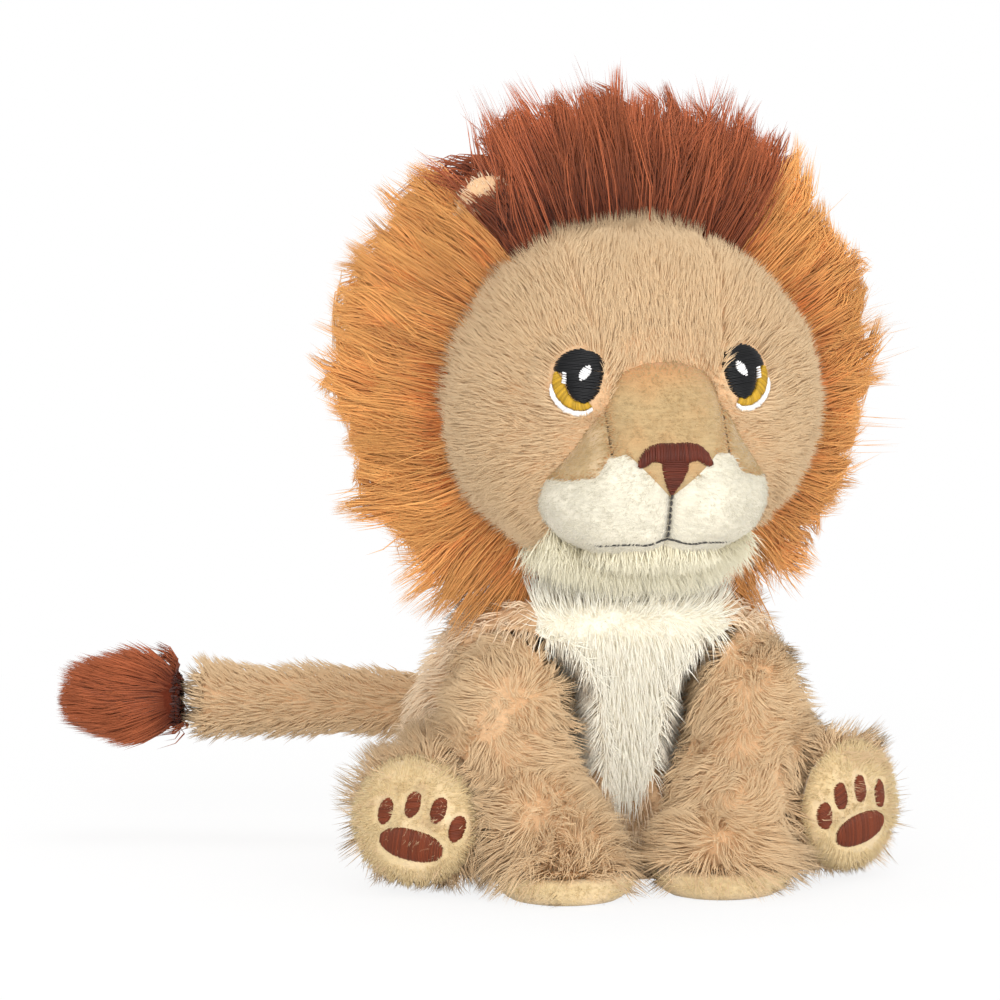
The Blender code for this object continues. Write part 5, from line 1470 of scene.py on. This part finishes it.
class LION_OT_stitching(LionOperator):
    """Embroidered eyes, nose and mouth"""

    bl_idname = "lion.stitching"
    bl_label = "Eyes, nose and mouth"

    def build(self, colours, sizes):
        self.build_nose(colours, sizes)
        head = head_form()
        self.build_eyes(colours, sizes, head)
        head.free()

    def build_nose(self, colours, sizes):
        bm = muzzle_bm()
        ground = Ground(bm, (0, -0.04, 0.109), RIGHT, UP)
        bm.free()
        brown = thread_sheet("nose_thread", colours.nose)
        grey = thread_sheet("mouth_thread", colours.mouth)
        x = np.array((0, 3.0, 4.6, 5.6, 7.0, 8.2, 9.0)) * MM
        top = np.array((2.5, 2.6, 2.4, 2.1, 1.3, 0.0, -1.6)) * MM
        bottom = np.array((-2.4, -2.3, -2.0, -1.9, -2.9, -3.4, -2.8)) * MM
        columns = np.linspace(-8.9 * MM, 8.9 * MM, int(17.8 * MM / sizes.thread_pitch))
        starts = [(c, np.interp(abs(c), x, bottom)) for c in columns]
        ends = [(c * 0.97, np.interp(abs(c), x, top)) for c in columns]
        sew("nose_bar", ground, starts, ends, brown, 0.9, 80)
        rows = np.linspace(-2.6 * MM, -9.9 * MM, int(7.3 * MM / sizes.thread_pitch))
        depths = np.array((2.6, 4.6, 6.6, 8.4, 9.9)) * MM
        half = np.interp(-rows, depths, np.array((3.6, 3.3, 2.5, 1.5, 0.5)) * MM)
        starts = [(-h, r + 0.25 * h) for r, h in zip(rows, half)]
        ends = [(h, r + 0.25 * h) for r, h in zip(rows, half)]
        sew("nose_stem", ground, starts, ends, brown, 0.75, 81)
        heights = np.linspace(-10.0 * MM, -20.9 * MM, 8)
        starts = [(0.05 * MM, h) for h in heights[:-1]]
        ends = [(-0.05 * MM, h) for h in heights[1:] + 0.35 * MM]
        sew("mouth_seam", ground, starts, ends, grey, 0.45, 82, 0.33)
        across = np.linspace(-16 * MM, 16 * MM, 21)
        bow = 1.9 * MM * np.abs(across / (16 * MM)) ** 1.2
        sag = 0.9 * MM * np.exp(-(((np.abs(across) - 5 * MM) / (3 * MM)) ** 2))
        points = np.stack([across, -21 * MM - bow - sag], 1)
        ends = points[1:] + (points[1:] - points[:-1]) * 0.1
        sew("mouth_curve", ground, points[:-1], ends, grey, 0.4, 83, 0.24)

    def build_eyes(self, colours, sizes, head):
        black = thread_sheet("eye_black_thread", colours.black, 0.35)
        gold = thread_sheet("eye_gold_thread", colours.gold)
        white = thread_sheet("eye_white_thread", colours.eye_white)
        slant = 0.3 * MM
        for name, side in SIDES.items():
            origin, across, up, _ = eye_frame(side)
            ground = Ground(head, origin, across, up)
            mirror = np.array((side, 1))
            rows = np.linspace(-4.5 * MM, 7.8 * MM, int(12.3 * MM / (0.9 * sizes.thread_pitch)))
            crossings = [crossing(PUPIL, row) for row in rows]
            starts = [mirror * (low, row - slant) for (low, _), row in zip(crossings, rows)]
            ends = [mirror * (high, row + slant) for (_, high), row in zip(crossings, rows)]
            sew("eye_pupil", ground, starts, ends, black, 0.75, 90, side="_" + name)
            starts, ends = mirror * spaced(IRIS_INNER, 44), mirror * spaced(IRIS_OUTER, 44)
            sew("eye_iris", ground, starts, ends, gold, 0.6, 91, 0.24, "_" + name)
            starts, ends = mirror * spaced(IRIS_OUTER[2:], 46), mirror * spaced(WHITE_OUTER, 46)
            sew("eye_white", ground, starts, ends, white, 0.5, 92, 0.24, "_" + name)
            starts, ends = [], []
            for share in np.linspace(-0.95, 0.95, 9):
                centre = np.array((-1.9, 2.3)) * MM + np.array((-0.6, 1.0)) * share * 1.7 * MM
                half = np.array((0.8, 0.35)) * math.sqrt(1 - share * share) * 1.6 * MM
                starts.append(mirror * (centre + half))
                ends.append(mirror * (centre - half))
            for row in np.linspace(-0.2, 2.0, 5) * MM:
                starts.append(mirror * (2.4 * MM, row))
                ends.append(mirror * (3.6 * MM, row + 0.3 * MM))
            sew("eye_glint", ground, starts, ends, white, 1.25, 93, 0.23, "_" + name)


def crossing(outline, row):
    """Where a level line crosses a closed outline: least and greatest."""
    found = []
    for (a, b), (c, d) in zip(outline, np.roll(outline, -1, 0)):
        if (b - row) * (d - row) <= 0 and b != d:
            found.append(a + (c - a) * (row - b) / (d - b))
    if len(found) < 2:
        return -0.5 * MM, 0.5 * MM
    return min(found), max(found)


# The mane's pieces, and the CAD node that each one takes the place of
MANE_PIECES = {
    "crown_front": "mane_crown",
    "crown_back": None,
    "mane_front_left": "mane_left",
    "mane_back_left": None,
    "mane_front_right": "mane_right",
    "mane_back_right": None,
}


class LION_OT_mane(LionOperator):
    """Skin and long fur of the mane and its brown crown"""

    bl_idname = "lion.mane"
    bl_label = "Mane"

    def build(self, colours, sizes):
        mesh = mane_mesh()
        backings = [skin_sheet("orange_backing", colours.orange_root)]
        backings.append(skin_sheet("crown_backing", colours.brown_root))
        add_piece("mane_cloth", mesh, backings, "head", [])
        paint(mesh, on_crown)
        skin = Skin(mesh)
        bm = ring_loft(mane_rings(MANE_REACH), 60, along=UP)
        outer = BVHTree.FromBMesh(bm)
        bm.free()
        orange = pile_sheet("mane_plush", colours.orange_root, colours.orange, deep=0.68, root_end=0.75)
        brown = pile_sheet("crown_plush", colours.brown_root, colours.brown, deep=0.6, pale=1.4, root_end=0.9)
        for number, (name, node) in enumerate(MANE_PIECES.items()):
            words = name.split("_")
            pile = Pile(skin, sizes, "_".join(words[:2]), number)
            x, y, z = pile.roots.T
            crown = words[0] == "crown"
            back = (y - HEAD[1] - SEAM_BACK) / MANE_SKIN_DEPTH
            chosen = (y < MANE_SPLIT) == (words[1] == "front")
            chosen &= on_crown(pile.roots) == crown
            if not crown:
                chosen &= x * SIDES[words[2]] > 0
            chosen &= z > MANE_HEM + 0.3 * MM
            below = (z < 92 * MM) & (np.abs(x) < 14 * MM) & (back < 0.35)
            pile.keep(chosen & ~below)
            rim = self.comb_mane(pile, sizes, crown, outer)
            shade = rim + 0.14 * ripple(pile.roots, 9 * MM, 110 + number)
            material, slot = (brown, "crown_plush") if crown else (orange, "mane_plush")
            pile.make(name + "_fur", material, "head", 0.8, shade, [node] if node else (), slot)

    def comb_mane(self, pile, sizes, crown, outer):
        roots, normals, rng = pile.roots, pile.normals, pile.rng
        count = len(roots)
        offset = roots - HEAD
        share = np.clip((offset[:, 1] - SEAM_BACK) / MANE_SKIN_DEPTH, 0, 1)
        angle = np.arctan2(offset[:, 2] - 3 * MM * share, offset[:, 0]) + 0.05 * rng.normal(size=count)
        # The pile parts round the ear at x < 0, which shows most
        beside = math.pi / 2 - EAR_TILT * np.sign(offset[:, 0]) - angle
        parting = 0.1 * (offset[:, 0] < 0)
        angle -= np.sign(beside) * parting * np.exp(-((beside / 0.13) ** 2)) * (share < 0.45)
        back = np.interp(share, MANE_LEAN[:, 0], MANE_LEAN[:, 1] * MM) + 1.5 * MM * rng.normal(size=count)
        wide, tall, lift = (np.interp(back, MANE_REACH[:, 0], MANE_REACH[:, k]) for k in (1, 2, 3))
        tips = HEAD + np.stack([wide * np.cos(angle), SEAM_BACK + back, lift + tall * np.sin(angle)], 1)
        # Behind the ears the pile falls over the back of the head
        flow = flat_to(normals, BACK * (1 - share[:, None]) - UP * share[:, None] * 1.2)
        beyond = roots + normals * 13 * MM + unit(flow) * 17 * MM
        over = np.array([outer.find_nearest(Vector(point))[0] for point in beyond])
        falling = smooth_share(share, 0.25, 0.6)[:, None]
        tips = tips * (1 - falling) + over * falling
        drop = np.where(offset[:, 0] < 0, 20 * MM, 11 * MM)
        tips[:, 2] -= drop * smooth_share(-np.sin(angle), 0.5, 0.9) * (share < 0.3)
        tips[:, 2] = np.maximum(tips[:, 2], (54 + 10 * rng.random(count)) * MM)
        grown = 0.94 + 0.2 * rng.random(count) + 0.13 * ripple(roots, 5 * MM, 121)
        if crown:
            grown = 1.1 + 0.18 * rng.random(count) ** 2.5 + 0.1 * ripple(roots, 5 * MM, 122)
        # Frizz of short strands along the seam with the face
        frizz = (rng.random(count) < 0.45) & (share < 0.1)
        grown = np.where(frizz, grown * (0.3 + 0.3 * rng.random(count)), grown)
        grown *= sizes.crown_length / CROWN_LENGTH if crown else sizes.mane_length / MANE_LENGTH
        tips = roots + (tips - roots) * grown[:, None]
        outward = unit(offset * (1, 0, 1)) * (1 - 0.6 * share[:, None]) + normals * (0.35 + share[:, None])
        outward += 0.2 * swirl(roots, 10 * MM, 123)
        pile.reach(outward, tips, 0.09, 1.2 * MM, (0.5 + 0.25 * smooth_share(share, 0.1, 0.5))[:, None])
        pile.wave(9 * MM, 1.5 * MM, 124).clump(2.2 * MM, 0.35, 1.4).clump(6 * MM, 0.7, 1.3)
        # Each lock has a length of its own, and none stands above the wisps
        by_lock = rng.random(count)[pile.lock]
        start = pile.curves[:, :1]
        rise = np.maximum(pile.curves[:, -1, 2] - start[:, 0, 2], 1 * MM)
        room = np.clip((WISP_TOP - start[:, 0, 2]) / rise, 0, 1.25)
        stretch = np.minimum(0.9 + 0.22 * by_lock, room)
        # The right ear's tip stays clear of the pile in front of it
        tip = pile.curves[:, -1] - HEAD
        beside = np.abs(tip @ (math.cos(EAR_TILT), 0, math.sin(EAR_TILT)))
        over_ear = (beside < 6.5 * MM) & (tip @ (-math.sin(EAR_TILT), 0, math.cos(EAR_TILT)) > 48 * MM)
        stretch[over_ear & (share < 0.5)] *= 0.5
        pile.curves = start + (pile.curves - start) * stretch[:, None, None]
        return 0.45 * (np.clip(share / 0.14, 0, 1) - 0.8)


class LION_OT_ears(LionOperator):
    """Small ears between crown and mane"""

    bl_idname = "lion.ears"
    bl_label = "Ears"

    def build(self, colours, sizes):
        material = pile_sheet("ear_plush", colours.tan_root, colours.tan, deep=0.8, pale=0.9)
        for name, side in SIDES.items():
            outward = np.array((side * math.sin(EAR_TILT), 0, math.cos(EAR_TILT)))
            size = 0.94 if side < 0 else 0.82
            centre = middle_of("ear_" + name) - outward * 12 * MM * (1 - size)
            turn = Matrix.Rotation(side * EAR_TILT, 4, "Y")
            bm = round_form(centre, np.array((11, 2.6, 16)) * size * MM, 40, 28, turn)
            for vert in bm.verts:
                # A hollow in the ear's front
                local = turn.inverted() @ (vert.co - Vector(centre))
                depth = max(0, 1 - (local.x / (8 * MM)) ** 2 - (local.z / (12 * MM)) ** 2)
                vert.co.y += 2.4 * MM * depth
            mesh = mesh_from("ear_cloth", bm)
            backing = skin_sheet("ear_backing", colours.tan_root)
            add_piece("ear_cloth_" + name, mesh, [backing], "head", ["ear_" + name])
            pile = Pile(Skin(mesh), sizes, "ear", side)
            lengths = pile.lengths(2.4 * MM, 0.7, 0.4)
            pile.comb(pile.normals + 0.5 * outward, 0.4 * pile.normals + outward, lengths, 0.15, 0.3 * MM)
            pile.clump(2.5 * MM, 0.4)
            pile.make("ear_fur_" + name, material, "head", 0.5, slot="tan_plush")


CAMERA_AZIMUTH = math.radians(-13)
CAMERA_ELEVATION = math.radians(8)
CAMERA_DISTANCE = 4.0
FRAME_WIDTH = 237 * MM
FRAME_RIGHT = -26.07 * MM
FRAME_RISE = 88.4 * MM
WORLD_LIGHT = 0.82
# Name, place, size and power of each lamp
LAMPS = (
    ("key", (-0.75, -1.75, 0.75), 1.1, 17.5),
    ("fill", (0.6, -1.7, 0.12), 1.2, 19.5),
    ("top", (0.1, 0.3, 1.7), 0.9, 6),
)
LAMP_AIM = Vector((0, 0, 0.09))


class LION_OT_stage(LionOperator):
    """Floor, backdrop, lamps and camera"""

    bl_idname = "lion.stage"
    bl_label = "Studio"

    def build(self, colours, sizes):
        scene = bpy.context.scene
        scene.view_settings.view_transform = "Standard"
        self.add_floor()
        self.add_world(scene)
        for name, place, size, power in LAMPS:
            lamp = bpy.data.lights.new(name, "AREA")
            lamp.energy = power
            lamp.size = size
            obj = bpy.data.objects.new(name, lamp)
            obj.location = place
            obj.rotation_euler = (LAMP_AIM - Vector(place)).to_track_quat("-Z", "Y").to_euler()
            scene.collection.objects.link(obj)
        camera = bpy.data.cameras.new("camera")
        camera.sensor_width = 36
        camera.lens = 36 * CAMERA_DISTANCE / FRAME_WIDTH
        obj = bpy.data.objects.new("camera", camera)
        sine, cosine = math.sin(CAMERA_AZIMUTH), math.cos(CAMERA_AZIMUTH)
        level = math.cos(CAMERA_ELEVATION)
        toward = Vector((sine * level, -cosine * level, math.sin(CAMERA_ELEVATION)))
        right = Vector((cosine, sine, 0))
        rise = toward.cross(right)
        target = right * FRAME_RIGHT + rise * FRAME_RISE
        obj.location = target + toward * CAMERA_DISTANCE
        obj.rotation_euler = toward.to_track_quat("Z", "Y").to_euler()
        scene.collection.objects.link(obj)
        scene.camera = obj

    def add_floor(self):
        bm = bmesh.new()
        bmesh.ops.create_grid(bm, x_segments=1, y_segments=1, size=3)
        sheet = Sheet("floor_paper", Roughness=1.0, Specular_IOR_Level=0.0)
        sheet.colour((0.9, 0.9, 0.9))
        glow = sheet.node("ShaderNodeEmission", Color=(1, 1, 1), Strength=1.0)
        # Far from the lion the floor is as white as the backdrop
        x, y, _ = sheet.parts(sheet.place())
        far = x * x + y * y
        share = sheet.seen() * (far.within(0.02, 0.12) * 0.14 + 0.86)
        mixed = sheet.mix_shaders(share, Wire(sheet, sheet.shader.outputs[0]), glow)
        sheet.plug(sheet.tree.nodes["Material Output"].inputs["Surface"], mixed)
        floor = bpy.data.objects.new("floor", mesh_from("floor", bm, False))
        floor.data.materials.append(sheet.material)
        bpy.context.scene.collection.objects.link(floor)

    def add_world(self, scene):
        world = bpy.data.worlds.new("studio")
        scene.world = world
        world.use_nodes = True
        tree = Tree(world.node_tree)
        light = tree.node("ShaderNodeBackground", Color=(1, 1, 1), Strength=WORLD_LIGHT)
        backdrop = tree.node("ShaderNodeBackground", Color=(1, 1, 1), Strength=1.0)
        mixed = tree.mix_shaders(tree.seen(), light, backdrop)
        tree.plug(world.node_tree.nodes["World Output"].inputs["Surface"], mixed)


OPERATORS = (
    LION_OT_body, LION_OT_legs, LION_OT_paws, LION_OT_tail, LION_OT_head, LION_OT_muzzle,
    LION_OT_stitching, LION_OT_mane, LION_OT_ears, LION_OT_stage,
)


class LION_PT_panel(bpy.types.Panel):
    bl_idname = "LION_PT_panel"
    bl_label = "Plush lion"
    bl_space_type = "VIEW_3D"
    bl_region_type = "UI"
    bl_category = "Plush lion"

    def draw(self, context):
        for group in (context.scene.lion_colours, context.scene.lion_sizes):
            for name in group.__annotations__:
                self.layout.prop(group, name)
        for operator in OPERATORS:
            self.layout.operator(operator.bl_idname)


CLASSES = (LionColours, LionSizes, *OPERATORS, LION_PT_panel)


def register():
    for cls in CLASSES:
        bpy.utils.register_class(cls)
    bpy.types.Scene.lion_colours = PointerProperty(type=LionColours)
    bpy.types.Scene.lion_sizes = PointerProperty(type=LionSizes)


def unregister():
    del bpy.types.Scene.lion_sizes
    del bpy.types.Scene.lion_colours
    for cls in reversed(CLASSES):
        bpy.utils.unregister_class(cls)


def main():
    register()
    for operator in OPERATORS:
        space, name = operator.bl_idname.split(".")
        getattr(getattr(bpy.ops, space), name)()


if __name__ == "__main__":
    main()
